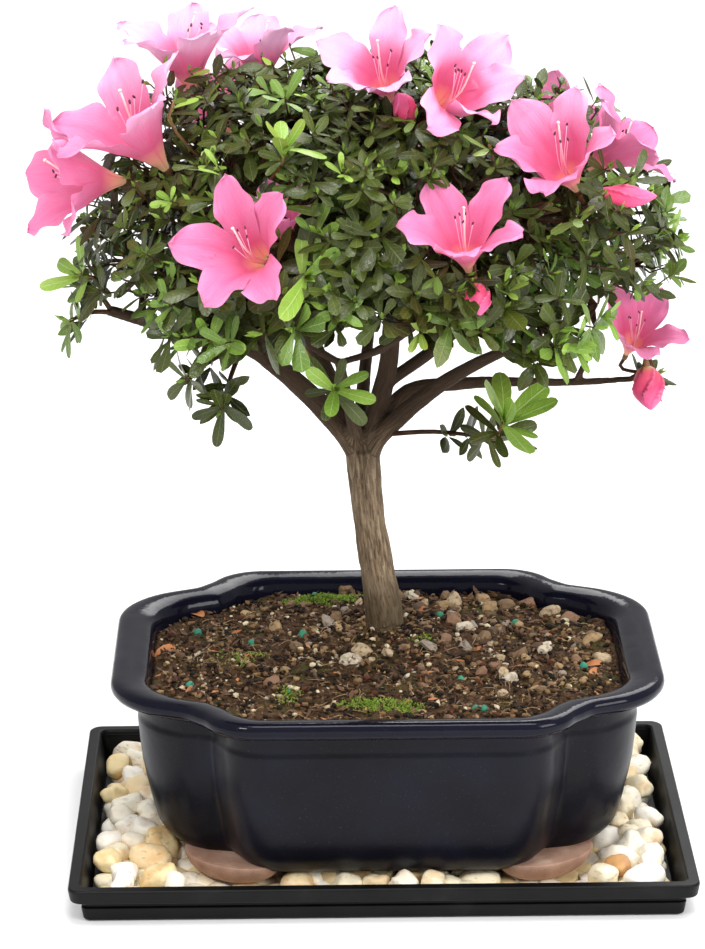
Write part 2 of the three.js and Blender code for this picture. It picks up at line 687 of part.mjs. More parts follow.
// Outlying shoots: bright new growth that stands out of the crown
const NEW_SHOOTS = [
  { at: vec(-47, -52, 330), facing: vec(0.1, -0.6, 0.8), leaves: 5, long: 24 },
  { at: vec(-22, -62, 286), facing: vec(0.5, -0.8, 0.3), leaves: 5, long: 25 },
  { at: vec(-74, -42, 259), facing: vec(-0.1, -0.95, 0.3), leaves: 4, long: 20 },
  { at: vec(-20, -40, 236), facing: vec(0.1, -0.98, 0.2), leaves: 5, long: 22 },
  { at: vec(56, -34, 218), facing: vec(0.5, -0.7, 0.5), leaves: 6, long: 25 },
  { at: vec(-96, -20, 354), facing: vec(-0.2, -0.2, 0.95), leaves: 4, long: 18 },
  { at: vec(134, 4, 292), facing: vec(0.8, -0.4, 0.4), leaves: 4, long: 18 },
  { at: vec(58, -28, 342), facing: vec(0.2, -0.5, 0.8), leaves: 4, long: 17 },
  { at: vec(-128, -4, 278), facing: vec(-0.8, -0.5, 0.3), leaves: 5, long: 19 },
  { at: vec(30, 108, 340), facing: vec(0.1, 0.5, 0.86), leaves: 5, long: 20 },
  { at: vec(-96, 78, 300), facing: vec(-0.5, 0.6, 0.5), leaves: 5, long: 20 },
];

function shoot({ at, facing, leaves, long }, index) {
  const star = whorl({ leaves, long, wide: 9.5, tilt: 0.85, seed: 300 + index });
  const stalk = stalkTo(nearestClump(at), at, facing, 0.9);
  return placed(star, at, facing, index).add(stalk);
}

// Leafy ends of the bare lower limbs
const LIMB_SPRAYS = [
  { name: "spray_left_end", from: vec(-121, 12, 257), tips: [vec(-140, 2, 256), vec(-134, 8, 274)] },
  { name: "spray_right_end", from: vec(117, 25, 219), tips: [vec(128, 22, 222)] },
  { name: "spray_low_left", from: vec(-62, 17, 239), tips: [vec(-72, -8, 216), vec(-88, 0, 228)] },
  { name: "spray_low_right", from: vec(2, 34, 190), tips: [vec(50, -2, 200)] },
];

// Nodes, each kept clear of those before it
const group = new THREE.Group();
const taken = [];

function material(colour, roughness = 0.7, metalness = 0) {
  return new THREE.MeshStandardMaterial({ color: colour, roughness, metalness });
}

// Whether every edge still has two faces once corners within a micron of each other are one
function closesWhenMerged(solid) {
  const bare = geometryOf(solid);
  bare.deleteAttribute("normal");
  const corner = mergeVertices(bare, 1e-3).index.array;
  const uses = new Map();
  for (let t = 0; t < corner.length; t += 3) {
    const face = [corner[t], corner[t + 1], corner[t + 2]];
    if (new Set(face).size < 3) return false;
    for (let k = 0; k < 3; k++) {
      const [a, b] = [face[k], face[(k + 1) % 3]];
      const key = Math.min(a, b) + "," + Math.max(a, b);
      uses.set(key, (uses.get(key) ?? 0) + 1);
    }
  }
  return [...uses.values()].every((count) => count === 2);
}

function cleaned(solid) {
  for (const tolerance of [SLIVER, 0.07, 0.1, 0.15]) {
    const simpler = largest(solid.simplify(tolerance));
    const rebuilt = solidOf(geometryOf(simpler), 1e-3);
    if (closesWhenMerged(simpler) && closesWhenMerged(rebuilt)) return simpler;
  }
  return null;
}

function addNode(name, solid, colour, roughness) {
  const node = new THREE.Mesh(geometryOf(cleaned(solid) ?? solid), material(colour, roughness));
  node.name = name;
  group.add(node);
}

function overlaps(box, other) {
  const apart = [0, 1, 2].some((k) => box.max[k] < other.min[k] || other.max[k] < box.min[k]);
  return !apart;
}

function isClear(solid, owner) {
  const box = solid.boundingBox();
  return taken.every(
    (t) => t.owner === owner || !overlaps(box, t.box) || solid.intersect(t.solid).volume() < 1e-3,
  );
}

function take(owner, solid) {
  taken.push({ owner, solid, box: solid.boundingBox() });
}

addNode("tray", tray(), COLOURS.tray, 0.45);
addNode("pebbles", pebbles(), COLOURS.pebble, 0.55);
addNode("pot", pot(), COLOURS.glaze, 0.15);
addNode("drain_screen_left", screen(-1), COLOURS.screen, 0.6);
addNode("drain_screen_right", screen(1), COLOURS.screen, 0.6);
addNode("soil", soil(), COLOURS.soil, 0.95);

const wood = largest(GROWN_CORES.reduce((left, core) => left.subtract(core), trunkSolid()));
const grownWood = trunkSolid(GAP);
addNode("trunk_and_branches", wood, COLOURS.bark, 0.85);
take("trunk", grownWood);

CLUMPS.forEach((clump, i) => take("foliage_" + i, GROWN_CORES[i]));

// Turns a piece about its stalk, or pushes it outwards, until it crosses nothing that is already placed
function settle(name, make) {
  let best = null;
  for (const push of [0, 4, 8, 12])
    for (const turn of [0, 0.12, -0.12, 0.24, -0.24, 0.4]) {
      const solid = make(push, turn);
      const box = solid.boundingBox();
      let crossed = 0;
      for (const t of taken)
        if (t.owner !== "trunk" && overlaps(box, t.box)) crossed += solid.intersect(t.solid).volume();
      if (!best || crossed < best.crossed) best = { solid, crossed };
      if (crossed < 1e-3) break;
    }
  let body = best.solid;
  for (const t of taken) if (overlaps(body.boundingBox(), t.box)) body = body.subtract(t.solid);
  body = largest(body).simplify(SLIVER);
  take(name, body);
  return body;
}

function addSettled(prefix, entries, make, colour) {
  entries.forEach((entry, i) => {
    const name = prefix + (entry.name ?? i + 1);
    const body = settle(name, (push, turn) => {
      const at = entry.at.clone().addScaledVector(entry.facing.clone().normalize(), push);
      return make({ ...entry, at, roll: (entry.roll ?? 0) + turn }, i);
    });
    addNode(name, body, colour, 0.5);
  });
}

addSettled("bloom_", BLOOMS, bloom, COLOURS.petal);
addSettled("bud_", BUDS, bud, COLOURS.bud);
addSettled("new_shoot_", NEW_SHOOTS, shoot, COLOURS.shoot);

LIMB_SPRAYS.forEach(({ name, from, tips }, index) => {
  const sprays = (turn) =>
    union(
      tips.flatMap((tip, k) => {
        const facing = tip.clone().sub(from).normalize();
        const middle = from.clone().lerp(tip, 0.5).add(vec(0, 0, 2));
        const star = whorl({ leaves: 5, long: 24, wide: 10, tilt: 1.2, seed: 500 + 9 * index + k });
        return [limb([from.clone(), middle, tip.clone()], [1.3, 1.1, 0.9], 4, 2), placed(star, tip, facing, k + turn)];
      }),
    );
  addNode(name, settle(name, (push, turn) => sprays(turn * 4)), COLOURS.leaf, 0.4);
});

// Each clump: its core, and the whorls that stand out of it, turned or folded until they cross nothing
const leafy = CLUMPS.map((clump, i) => [clumpCore(clump, i)]);
const FOLDS = [
  [0, 1.12, 1],
  [0.4, 1.12, 1],
  [0.8, 1, 1],
  [0.2, 0.85, 0.96],
  [0.6, 0.85, 0.92],
  [0, 0.65, 0.92],
  [0.5, 0.65, 0.84],
  [0.3, 0.5, 0.8],
];

function growWhorl(tip) {
  const owner = "foliage_" + tip.clump;
  const clump = CLUMPS[tip.clump];
  for (const [roll, tilt, share] of FOLDS) {
    const at = clump.at.clone().lerp(tip.at, share);
    const parts = (thick) => {
      const star = whorl({ leaves: 5, long: LEAF.long, wide: LEAF.wide, tilt, seed: tip.seed, thick });
      const twig = limb([clump.at.clone(), at.clone()], [1.5, 1.1], 3, 1);
      return placed(star, at, tip.facing, roll).add(twig);
    };
    const stands = parts(LEAF.thick + 0.6).subtract(GROWN_CORES[tip.clump]);
    const crossesOwn = leafy[tip.clump].slice(1).some((other) => {
      const both = stands.intersect(other.subtract(GROWN_CORES[tip.clump]));
      return !both.isEmpty() && both.volume() > 1e-3;
    });
    if (crossesOwn || !isClear(stands, owner)) continue;
    leafy[tip.clump].push(parts(LEAF.thick));
    take(owner, stands);
    return;
  }
}

shootTips().forEach(growWhorl);

// A clump that the dome's shoots pass by gets whorls on its own front, sides and top
const FEWEST = 3;
CLUMPS.forEach(({ at, size }, clump) => {
  const ways = [vec(-0.3, -1, 0.3), vec(0.9, -0.5, 0.3), vec(-0.9, -0.3, 0.5), vec(0.2, -0.3, 1), vec(-0.4, 0.8, 0.5)];
  ways.forEach((facing, k) => {
    if (leafy[clump].length > FEWEST) return;
    const tip = at.clone().add(facing.clone().multiply(size).multiplyScalar(1.35));
    growWhorl({ at: tip, facing: facing.clone().normalize(), clump, seed: 700 + 10 * clump + k });
  });
});
// A whorl that would leave a seam a STEP file can't close is left off
leafy.forEach((solids, i) => {
  const body = solids.reduce((sum, next) => cleaned(sum.add(next)) ?? sum);
  addNode("foliage_" + String(i + 1).padStart(2, "0"), body, COLOURS.leaf, 0.4);
});

export default group;
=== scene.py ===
import itertools
import math
import random

import bmesh
import bpy
import numpy as np
from mathutils import Matrix, Vector
from mathutils.kdtree import KDTree


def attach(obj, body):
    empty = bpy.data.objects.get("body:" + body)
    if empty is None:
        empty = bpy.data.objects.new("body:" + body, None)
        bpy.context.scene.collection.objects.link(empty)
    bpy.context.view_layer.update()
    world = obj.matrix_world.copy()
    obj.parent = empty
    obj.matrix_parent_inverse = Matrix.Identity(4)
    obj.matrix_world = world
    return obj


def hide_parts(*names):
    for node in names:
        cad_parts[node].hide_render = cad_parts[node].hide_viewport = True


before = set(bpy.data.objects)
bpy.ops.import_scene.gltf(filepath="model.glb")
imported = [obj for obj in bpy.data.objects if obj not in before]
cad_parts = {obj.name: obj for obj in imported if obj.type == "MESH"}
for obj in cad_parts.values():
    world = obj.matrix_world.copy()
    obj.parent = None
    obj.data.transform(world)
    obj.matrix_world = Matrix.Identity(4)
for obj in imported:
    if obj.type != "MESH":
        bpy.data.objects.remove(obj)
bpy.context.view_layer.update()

# Sizes in millimetres, as in the CAD model
MM = 0.001
TURN = 2 * math.pi
GOLDEN = math.pi * (3 - math.sqrt(5))
POT_CENTRE = np.array([3.0, 4.0])
POT_HALF = np.array([127.0, 100.0])
POT_INSIDE = 21.0
TRAY_HALF = np.array([142.5, 96.0])
TRAY_FLOOR = 2.0
TRAY_CORNER = 6.0
FOOT_AT = np.array([71.5, 60.0])
FOOT_SIZE = np.array([24.5, 16.5, 12.5])
FOOT_CENTRE_Z = 18.0
FOOT_TURN = math.radians(32)
FOOT_REST = 7.6
FOOT_TOP = 18.5
DRAIN_X = 36.0
DRAIN_RADIUS = 9.0
TRUNK_AT = np.array([3.3, 38.0])
SOIL_EDGE = 88.0
SOIL_MOUND = 4.5
SOIL_SPREAD = 52.0
CROWN_CENTRE = np.array([0.0, 28.0, 262.0])
CROWN_REACH = np.array([141.0, 97.0])
CROWN_UP = 106.0
CROWN_DOWN = 46.0
CROWN_POWER = 2.6


# Small helpers
def unit(v):
    v = np.asarray(v, float)
    return v / np.linalg.norm(v)


def mix(a, b, t):
    return a + (b - a) * t


def smoothstep(low, high, value):
    t = np.clip((value - low) / (high - low), 0, 1)
    return t * t * (3 - 2 * t)


def drawn(rnd, *ranges):
    """One even random number from each range."""
    return np.array([rnd.uniform(low, high) for low, high in ranges])


def wander(rnd, *spreads):
    """One random number round zero for each spread."""
    return np.array([rnd.gauss(0, spread) for spread in spreads])


def turned(angle, axis="Z"):
    return np.array(Matrix.Rotation(angle, 3, axis))


def turn_to(axis, roll=0.0):
    """The rotation that takes +Z to an axis, after a turn about +Z."""
    lean = Vector((0, 0, 1)).rotation_difference(Vector(unit(axis)))
    return np.array(lean.to_matrix() @ Matrix.Rotation(roll, 3, "Z"))


# Steps of the lattice's hash
HASH_X, HASH_Y, HASH_Z = 73856093, 19349663, 83492791
HASH_SEED = 2654435
HASH_MIX = 1274126177


def value_noise(points, cell, seed):
    """Smooth noise from -1 to 1 at each point, from a seeded lattice of that cell size."""
    scaled = np.asarray(points, float) / cell
    low = np.floor(scaled).astype(np.int64)
    part = scaled - low
    part = part * part * (3 - 2 * part)
    total = np.zeros(len(scaled))
    for corner in itertools.product((0, 1), repeat=3):
        at = low + corner
        code = (at[:, 0] * HASH_X) ^ (at[:, 1] * HASH_Y) ^ (at[:, 2] * HASH_Z) ^ (seed * HASH_SEED)
        code = (code ^ (code >> 13)) * HASH_MIX
        value = ((code ^ (code >> 16)) & 0xFFFF) / 32767.5 - 1
        total += value * np.prod(np.where(corner, part, 1 - part), axis=1)
    return total


def lengths_along(points):
    """How far along a line each of its points lies."""
    return np.concatenate([[0], np.cumsum(np.linalg.norm(np.diff(points, axis=0), axis=1))])


def evenly_along(points, places):
    travelled = lengths_along(points)
    return np.stack([np.interp(places, travelled, column) for column in points.T], axis=1)


PATH_SAMPLES = 24


def smooth_path(points, count):
    """Evenly spaced points on a centripetal curve through the given ones."""
    points = np.asarray(points, float)
    chain = [2 * points[0] - points[1], *points, 2 * points[-1] - points[-2]]
    fine = []
    for p0, p1, p2, p3 in zip(chain, chain[1:], chain[2:], chain[3:]):
        t0, t1, t2 = (np.linalg.norm(b - a) ** 0.5 for a, b in ((p0, p1), (p1, p2), (p2, p3)))
        m1 = t1 * ((p1 - p0) / t0 - (p2 - p0) / (t0 + t1) + (p2 - p1) / t1)
        m2 = t1 * ((p2 - p1) / t1 - (p3 - p1) / (t1 + t2) + (p3 - p2) / t2)
        s = np.linspace(0, 1, PATH_SAMPLES, endpoint=False)[:, None]
        hermite = (2 * s**3 - 3 * s**2 + 1) * p1 + (s**3 - 2 * s**2 + s) * m1
        fine.append(hermite + (3 * s**2 - 2 * s**3) * p2 + (s**3 - s**2) * m2)
    fine = np.concatenate([*fine, points[-1:]])
    return evenly_along(fine, np.linspace(0, lengths_along(fine)[-1], count))


def frames_along(centres):
    """Unit tangents, and two directions across them that don't spin along the way."""
    tangents = np.gradient(centres, axis=0)
    tangents /= np.linalg.norm(tangents, axis=1)[:, None]
    side = np.cross(tangents[0], (0.31, 0.89, 0.33))
    sides = []
    for tangent in tangents:
        side = unit(side - tangent * np.dot(side, tangent))
        sides.append(side)
    sides = np.array(sides)
    return tangents, sides, np.cross(tangents, sides)


class Shape:
    """Points and faces gathered from many parts, with one stored vector at each point."""

    def __init__(self):
        self.points, self.values, self.faces, self.finishes = [], [], [], []
        self.count = 0

    def add(self, points, faces, values=None, finish=0):
        points = np.asarray(points, float).reshape(-1, 3)
        values = np.zeros_like(points) if values is None else np.asarray(values, float).reshape(-1, 3)
        for block in faces:
            block = np.asarray(block)
            self.faces.extend((block + self.count).tolist())
            self.finishes.extend([finish] * len(block))
        self.points.append(points)
        self.values.append(values)
        self.count += len(points)


def grid_faces(rows, columns, closed=False):
    """Four-sided faces of a grid of points, joined round the columns where closed."""
    steps = np.arange(columns if closed else columns - 1)
    row, column = np.meshgrid(np.arange(rows - 1) * columns, steps, indexing="ij")
    after = (column + 1) % columns
    corners = [row + column, row + after, row + columns + after, row + columns + column]
    return np.stack(corners, axis=-1).reshape(-1, 4)


def cap_faces(start, columns, centre, flip):
    """A fan from one ring of points to a centre point."""
    here = np.arange(columns)
    after = (here + 1) % columns
    pair = (after, here) if flip else (here, after)
    return np.stack([pair[0] + start, pair[1] + start, np.full(columns, centre)], axis=1)


def add_loft(shape, rings, ends, values=None, finish=0):
    """A closed skin over rings of points, with a fan to a centre point at each end."""
    columns = len(rings[0])
    last = len(rings) * columns
    faces = [
        grid_faces(len(rings), columns, closed=True),
        cap_faces(0, columns, last, flip=True),
        cap_faces(last - columns, columns, last + 1, flip=False),
    ]
    shape.add(np.concatenate([*rings, ends]), faces, values, finish)


def add_tube(shape, path, radii, sides, steps, finish=0):
    """A limb, stalk or thread along a smooth path. It stores how the grain runs round and along it."""
    centres = smooth_path(path, steps + 1)
    radius = np.interp(np.linspace(0, 1, steps + 1), np.linspace(0, 1, len(radii)), radii)
    _, side, other = frames_along(centres)
    turn = np.linspace(0, TURN, sides, endpoint=False)
    way = np.cos(turn)[None, :, None] * side[:, None] + np.sin(turn)[None, :, None] * other[:, None]
    rings = centres[:, None] + radius[:, None, None] * way
    grain = np.zeros((sides * (steps + 1) + 2, 3))
    grain[:-2, 0] = np.tile(np.cos(turn), steps + 1)
    grain[:-2, 1] = np.tile(np.sin(turn), steps + 1)
    grain[:-2, 2] = np.repeat(lengths_along(centres), sides)
    add_loft(shape, rings, [centres[0], centres[-1]], grain, finish)


BALLS = {}


def ball(level):
    """Points and faces of a unit ball of triangles."""
    if level not in BALLS:
        made = bmesh.new()
        bmesh.ops.create_icosphere(made, subdivisions=level, radius=1)
        points = np.array([v.co[:] for v in made.verts])
        faces = np.array([[v.index for v in f.verts] for f in made.faces])
        made.free()
        BALLS[level] = (points, faces)
    return BALLS[level]


def add_stone(shape, level, at, size, rnd, lumps=0.14, square=0.9, tilt=0.5, tone=None, finish=0):
    """A worn stone: a ball made lumpy and a little square, squashed, turned and set down."""
    points, faces = ball(level)
    offset = drawn(rnd, *[(0, 90)] * 3)
    lump = lumps * value_noise(points + offset, 0.9, 3) + 0.4 * lumps * value_noise(points + offset, 0.42, 5)
    body = np.sign(points) * np.abs(points) ** square * (1 + lump)[:, None] * size
    spin = Matrix.Rotation(rnd.uniform(0, TURN), 3, "Z")
    over, aside = drawn(rnd, (-tilt, tilt), (-tilt, tilt))
    lean = Matrix.Rotation(over, 3, "X") @ Matrix.Rotation(aside, 3, "Y")
    body = body @ np.array(lean @ spin).T + at
    tone = (rnd.random(), rnd.random(), rnd.random()) if tone is None else tone
    shape.add(body, [faces], np.tile(tone, (len(body), 1)), finish)


# Materials made of nodes only
def shade(code):
    """A colour as the shaders want it, from its usual six-digit code."""
    channels = [int(code[i : i + 2], 16) / 255 for i in (0, 2, 4)]
    linear = [c / 12.92 if c <= 0.04045 else ((c + 0.055) / 1.055) ** 2.4 for c in channels]
    return (*linear, 1.0)


class Wire:
    """A value inside a material. Arithmetic on it adds the nodes that work it out."""

    def __init__(self, finish, socket):
        self.finish, self.socket = finish, socket

    def __add__(self, other):
        return self.finish.maths("ADD", self, other)

    def __sub__(self, other):
        return self.finish.maths("SUBTRACT", self, other)

    def __rsub__(self, other):
        return self.finish.maths("SUBTRACT", other, self)

    def __mul__(self, other):
        return self.finish.maths("MULTIPLY", self, other)

    def __abs__(self):
        return self.finish.maths("ABSOLUTE", self, 0.0)


class Finish:
    """A procedural material, and the few kinds of node that the finishes are made of."""

    def __init__(self, name, specular, **settings):
        self.material = bpy.data.materials.new(name)
        self.material.use_nodes = True
        self.tree = self.material.node_tree
        self.shader = self.tree.nodes["Principled BSDF"]
        for key, value in {"Specular_IOR_Level": specular, **settings}.items():
            self.shader.inputs[key.replace("_", " ")].default_value = value

    def node(self, kind, inputs=(), **settings):
        made = self.tree.nodes.new("ShaderNode" + kind)
        for key, value in settings.items():
            setattr(made, key, value)
        for key, value in dict(inputs).items():
            self.feed(made.inputs[key], value)
        return made

    def wire(self, output, kind, inputs=(), **settings):
        return Wire(self, self.node(kind, inputs, **settings).outputs[output])

    def feed(self, socket, value):
        if isinstance(value, Wire):
            self.tree.links.new(value.socket, socket)
        else:
            socket.default_value = value

    def stored(self):
        return self.wire("Vector", "Attribute", attribute_name="grain")

    def place(self):
        return self.wire("Object", "TexCoord")

    def split(self, vector):
        return [Wire(self, output) for output in self.node("SeparateXYZ", {"Vector": vector}).outputs]

    def scaled(self, vector, factors):
        return self.wire(0, "VectorMath", {0: vector, 1: factors}, operation="MULTIPLY")

    def noise(self, scale, detail=3.0, roughness=0.5, at=None):
        inputs = {"Vector": at or self.place(), "Scale": scale, "Detail": detail, "Roughness": roughness}
        return self.wire("Fac", "TexNoise", inputs)

    def cells(self, vector):
        return self.wire("Distance", "TexVoronoi", {"Vector": vector, "Scale": 1.0})

    def maths(self, operation, a, b=0.0):
        return self.wire(0, "Math", {0: a, 1: b}, operation=operation)

    def between(self, value, low, high):
        inputs = {"Value": value, "From Min": low, "From Max": high}
        return self.wire("Result", "MapRange", inputs, interpolation_type="SMOOTHSTEP")

    def ranged(self, value, low, high):
        return self.wire("Result", "MapRange", {"Value": value, "To Min": low, "To Max": high})

    def ramp(self, value, stops, kind="LINEAR"):
        made = self.node("ValToRGB", {"Fac": value})
        made.color_ramp.interpolation = kind
        elements = made.color_ramp.elements
        while len(elements) < len(stops):
            elements.new(0.5)
        for element, (position, code) in zip(elements, stops):
            element.position = position
            element.color = shade(code)
        return Wire(self, made.outputs["Color"])

    def blend(self, factor, a, b):
        made = self.node("Mix", data_type="RGBA")
        for index, value in ((0, factor), (6, a), (7, b)):
            self.feed(made.inputs[index], shade(value) if isinstance(value, str) else value)
        return Wire(self, made.outputs[2])

    def finish(self, colour, height=None, strength=0.0, distance=0.0, roughness=None):
        """The material, from its colour, the height and depth of its bumps, and its roughness."""
        self.feed(self.shader.inputs["Base Color"], colour)
        if height is not None:
            bump = {"Height": height, "Strength": strength, "Distance": distance}
            self.feed(self.shader.inputs["Normal"], self.wire("Normal", "Bump", bump))
        if roughness is not None:
            self.feed(self.shader.inputs["Roughness"], roughness)
        return self.material


LEAF_SUBSURFACE = {"Subsurface_Radius": (0.6, 1.0, 0.25), "Subsurface_Scale": 0.002}
# Sheen, and a painted glow: the petals emit a little of their own colour to lift their shaded sides
PETAL_SHEEN_AND_PAINTED_GLOW = {"Sheen_Weight": 0.1, "Sheen_Roughness": 0.4, "Emission_Strength": 0.38}
PETAL_SUBSURFACE = {
    "Subsurface_Weight": 0.25, "Subsurface_Radius": (1.0, 0.45, 0.6), "Subsurface_Scale": 0.003,
}
PETAL_STOPS = [
    (0.03, "d0b581"), (0.15, "de927b"), (0.3, "c14f72"), (0.46, "c56187"), (0.68, "ca6992"), (1.0, "ce76a0"),
]
BUD_STOPS = [(0.05, "9fae52"), (0.2, "d65a72"), (0.55, "d8406c"), (1.0, "e5679a")]
PEBBLE_SUBSURFACE = {
    "Subsurface_Weight": 0.12, "Subsurface_Radius": (1.0, 0.8, 0.55), "Subsurface_Scale": 0.003,
}
PEBBLE_STOPS = [
    (0.0, "f3ebd8"), (0.3, "f1e5c6"), (0.52, "ebd6a4"), (0.66, "f5efe2"), (0.82, "e6d0a6"),
    (0.91, "d8bd92"), (0.975, "b98a60"),
]
GRIT_STOPS = [
    (0.0, "a08560"), (0.2, "7d654b"), (0.4, "b7a283"), (0.55, "85654f"), (0.7, "93877a"),
    (0.82, "cdc0aa"), (0.9, "5d4a3b"),
]
CRUMB_STOPS = [
    (0.0, "120b05"), (0.3, "2c1e10"), (0.52, "52391f"), (0.7, "7a5c3c"), (0.86, "957a55"),
    (0.925, "d6c6a4"), (0.97, "5a2f20"),
]


def leaf_finish(name, dark, light, vein, bronze, marks, glow):
    f = Finish(name, 0.4, Subsurface_Weight=glow, **LEAF_SUBSURFACE)
    along, across, tint = f.split(f.stored())
    aside = abs(across)
    # The stored tint holds each leaf's tone, with painted shade deep in the crown and painted sunlight on
    # whorls that face up
    colour = f.blend(tint * 0.75 + f.noise(160.0) * 0.3, dark, light)
    colour = f.blend(f.between(f.noise(26.0), 0.54, 0.68) * 0.7, colour, bronze)
    veins = f.between(f.maths("SINE", along * 44.0 - aside * 7.0), 0.72, 1.0)
    rib = 1.0 - f.between(aside, 0.02, 0.11)
    rim = f.between(aside, 0.86, 1.0)
    colour = f.blend(veins * (0.3 * marks), colour, vein)
    colour = f.blend(f.maths("MAXIMUM", rib, rim * 0.6) * marks, colour, vein)
    height = f.noise(700.0) - (veins * 0.6 + rib)
    return f.finish(colour, height, 0.4, 0.0005, f.ranged(f.noise(300.0), 0.2, 0.42))


def petal_finish():
    f = Finish("petal", 0.25, Roughness=0.5, **PETAL_SHEEN_AND_PAINTED_GLOW, **PETAL_SUBSURFACE)
    along, across, blotch = f.split(f.stored())
    aside = abs(across)
    colour = f.ramp(along + (f.noise(70.0) - 0.5) * 0.16, PETAL_STOPS)
    edge = f.between(aside, 0.5, 1.0) * f.between(along, 0.5, 0.9)
    colour = f.blend(edge * 0.5, colour, "d590b4")
    deep = (1.0 - f.between(aside, 0.0, 0.34)) * (1.0 - f.between(along, 0.42, 0.92))
    colour = f.blend(deep * 0.42, colour, "cc4874")
    strand = f.noise(1.6, 2.0, at=f.scaled(f.stored(), (2.2, 16.0, 0.0)))
    colour = f.blend(f.between(strand, 0.52, 0.72) * 0.36, colour, "bb4679")
    # Painted backlight: petals high in the crown are painted paler, as if lit through from behind
    high = f.between(f.split(f.place())[2], 0.338, 0.376) * f.between(along, 0.4, 0.75)
    colour = f.blend(high * 0.7, colour, "e0b0d2")
    spots = 1.0 - f.between(f.cells(f.scaled(f.stored(), (26.0, 7.0, 0.0))), 0.08, 0.2)
    zone = f.between(along, 0.34, 0.44) * (1.0 - f.between(along, 0.62, 0.8))
    zone = zone * (1.0 - f.between(aside, 0.3, 0.6)) * f.between(blotch, 0.35, 0.75)
    colour = f.blend(spots * zone * 0.6, colour, "bb3a72")
    # The painted glow takes the petal's own colour
    f.feed(f.shader.inputs["Emission Color"], colour)
    return f.finish(colour, strand + f.noise(900.0) * 0.25, 0.5, 0.0009)


def bud_finish():
    f = Finish("bud", 0.35, Roughness=0.45, Subsurface_Weight=0.15, Subsurface_Scale=0.002)
    along, fold, _ = f.split(f.stored())
    colour = f.ramp(along + f.noise(160.0) * 0.1, BUD_STOPS)
    colour = f.blend(f.between(fold, 0.2, 1.0) * 0.55, colour, "f291bd")
    return f.finish(colour, f.noise(800.0), 0.25, 0.0004)


def plain_finish(name, code, other, roughness, scale, bump=0.3, distance=0.0004):
    """A finish of two mottled colours, for threads, chips, moss and other small pieces."""
    f = Finish(name, 0.5, Roughness=roughness)
    cloud = f.noise(scale)
    colour = f.blend(cloud * 0.6 + f.split(f.stored())[2] * 0.45, code, other)
    return f.finish(colour, cloud, bump, distance)


def bark_finish(name, dark, mid, light, fibre_scale, painted_shade):
    """Bark with fibres and cracks along its grain, with painted shade darkening the upper limbs and the
    trunk's foot.
    """
    f = Finish(name, 0.2)
    grain = f.scaled(f.stored(), (fibre_scale, fibre_scale, 0.09))
    fibres = f.noise(1.0, 6.0, 0.62, at=grain)
    cracks = f.between(f.noise(1.0, 3.0, at=f.scaled(grain, (1.7, 1.7, 2.4))), 0.5, 0.68)
    patches = f.noise(45.0)
    colour = f.ramp(fibres, [(0.3, dark), (0.52, mid), (0.72, light)])
    colour = f.blend(cracks * 0.5, colour, dark)
    colour = f.blend(f.between(patches, 0.52, 0.7) * 0.35, colour, light)
    rise = f.split(f.place())[2]
    # Painted shade: limbs above this height, among the leaves, get a darker copy of the bark
    upper = f.between(rise + patches * 0.02, 0.178, 0.212)
    colour = f.blend(upper * painted_shade, colour, f.blend(fibres, "2e221a", "64503f"))
    # Painted shade also darkens the trunk's foot near the soil
    foot = 1.0 - f.between(rise + patches * -0.03, 0.082, 0.112)
    colour = f.blend(foot * (painted_shade * 0.7), colour, "43351f")
    return f.finish(colour, fibres - cracks * 0.5, 0.8, 0.0014, f.ranged(fibres, 0.7, 0.92))


def glaze_finish():
    """Dark blue glaze, browner where it runs thin over edges, and glossier on the lip."""
    f = Finish("glaze", 0.15)
    cloud = f.noise(26.0, 4.0)
    colour = f.ramp(cloud, [(0.3, "09090e"), (0.55, "0e0e17"), (0.8, "151524")])
    thin = f.split(f.stored())[1] * f.ranged(f.noise(130.0), 0.45, 1.0)
    colour = f.blend(f.between(thin, 0.25, 0.95), colour, "403d36")
    colour = f.blend(f.between(f.noise(1400.0, 1.0), 0.7, 0.76) * 0.3, colour, "4a4c58")
    lip = f.between(f.split(f.place())[2], 0.084, 0.089)
    colour = f.blend(lip * 0.3, colour, "121226")
    ripple = f.noise(55.0) + f.noise(420.0) * 0.12
    return f.finish(colour, ripple, 0.2, 0.002, f.ranged(cloud, 0.26, 0.36) - lip * 0.2)


def clay_finish():
    f = Finish("terracotta", 0.25)
    cloud = f.noise(70.0, 5.0)
    grit = f.noise(1500.0, 2.0)
    colour = f.ramp(cloud, [(0.3, "8f6c5a"), (0.55, "ad8a76"), (0.75, "c6a792")])
    colour = f.blend(f.between(grit, 0.58, 0.7) * 0.4, colour, "77584a")
    return f.finish(colour, grit, 0.45, 0.0005, f.ranged(cloud, 0.72, 0.9))


def pebble_finish():
    f = Finish("pebble", 0.45, **PEBBLE_SUBSURFACE)
    pick, warm, speckle = f.split(f.stored())
    cloud = f.noise(120.0, 5.0)
    colour = f.ramp(pick, PEBBLE_STOPS, "CONSTANT")
    stain = f.between(cloud * f.ranged(warm, 0.65, 1.2), 0.44, 0.74)
    colour = f.blend(stain * 0.62, colour, "d3a25f")
    band = f.between(f.noise(210.0, 2.0, at=f.scaled(f.place(), (1.0, 1.0, 3.0))), 0.6, 0.7)
    colour = f.blend(band * speckle * 0.5, colour, "a07a50")
    return f.finish(colour, f.noise(800.0, 2.0) + cloud, 0.3, 0.0006, f.ranged(cloud, 0.32, 0.6))


def grit_finish():
    f = Finish("grit", 0.3)
    cloud = f.noise(500.0, 4.0)
    colour = f.ramp(f.split(f.stored())[0], GRIT_STOPS, "CONSTANT")
    colour = f.blend(f.between(cloud, 0.45, 0.75), colour, "6b543f")
    return f.finish(colour, cloud, 0.6, 0.0006, f.ranged(cloud, 0.7, 0.95))


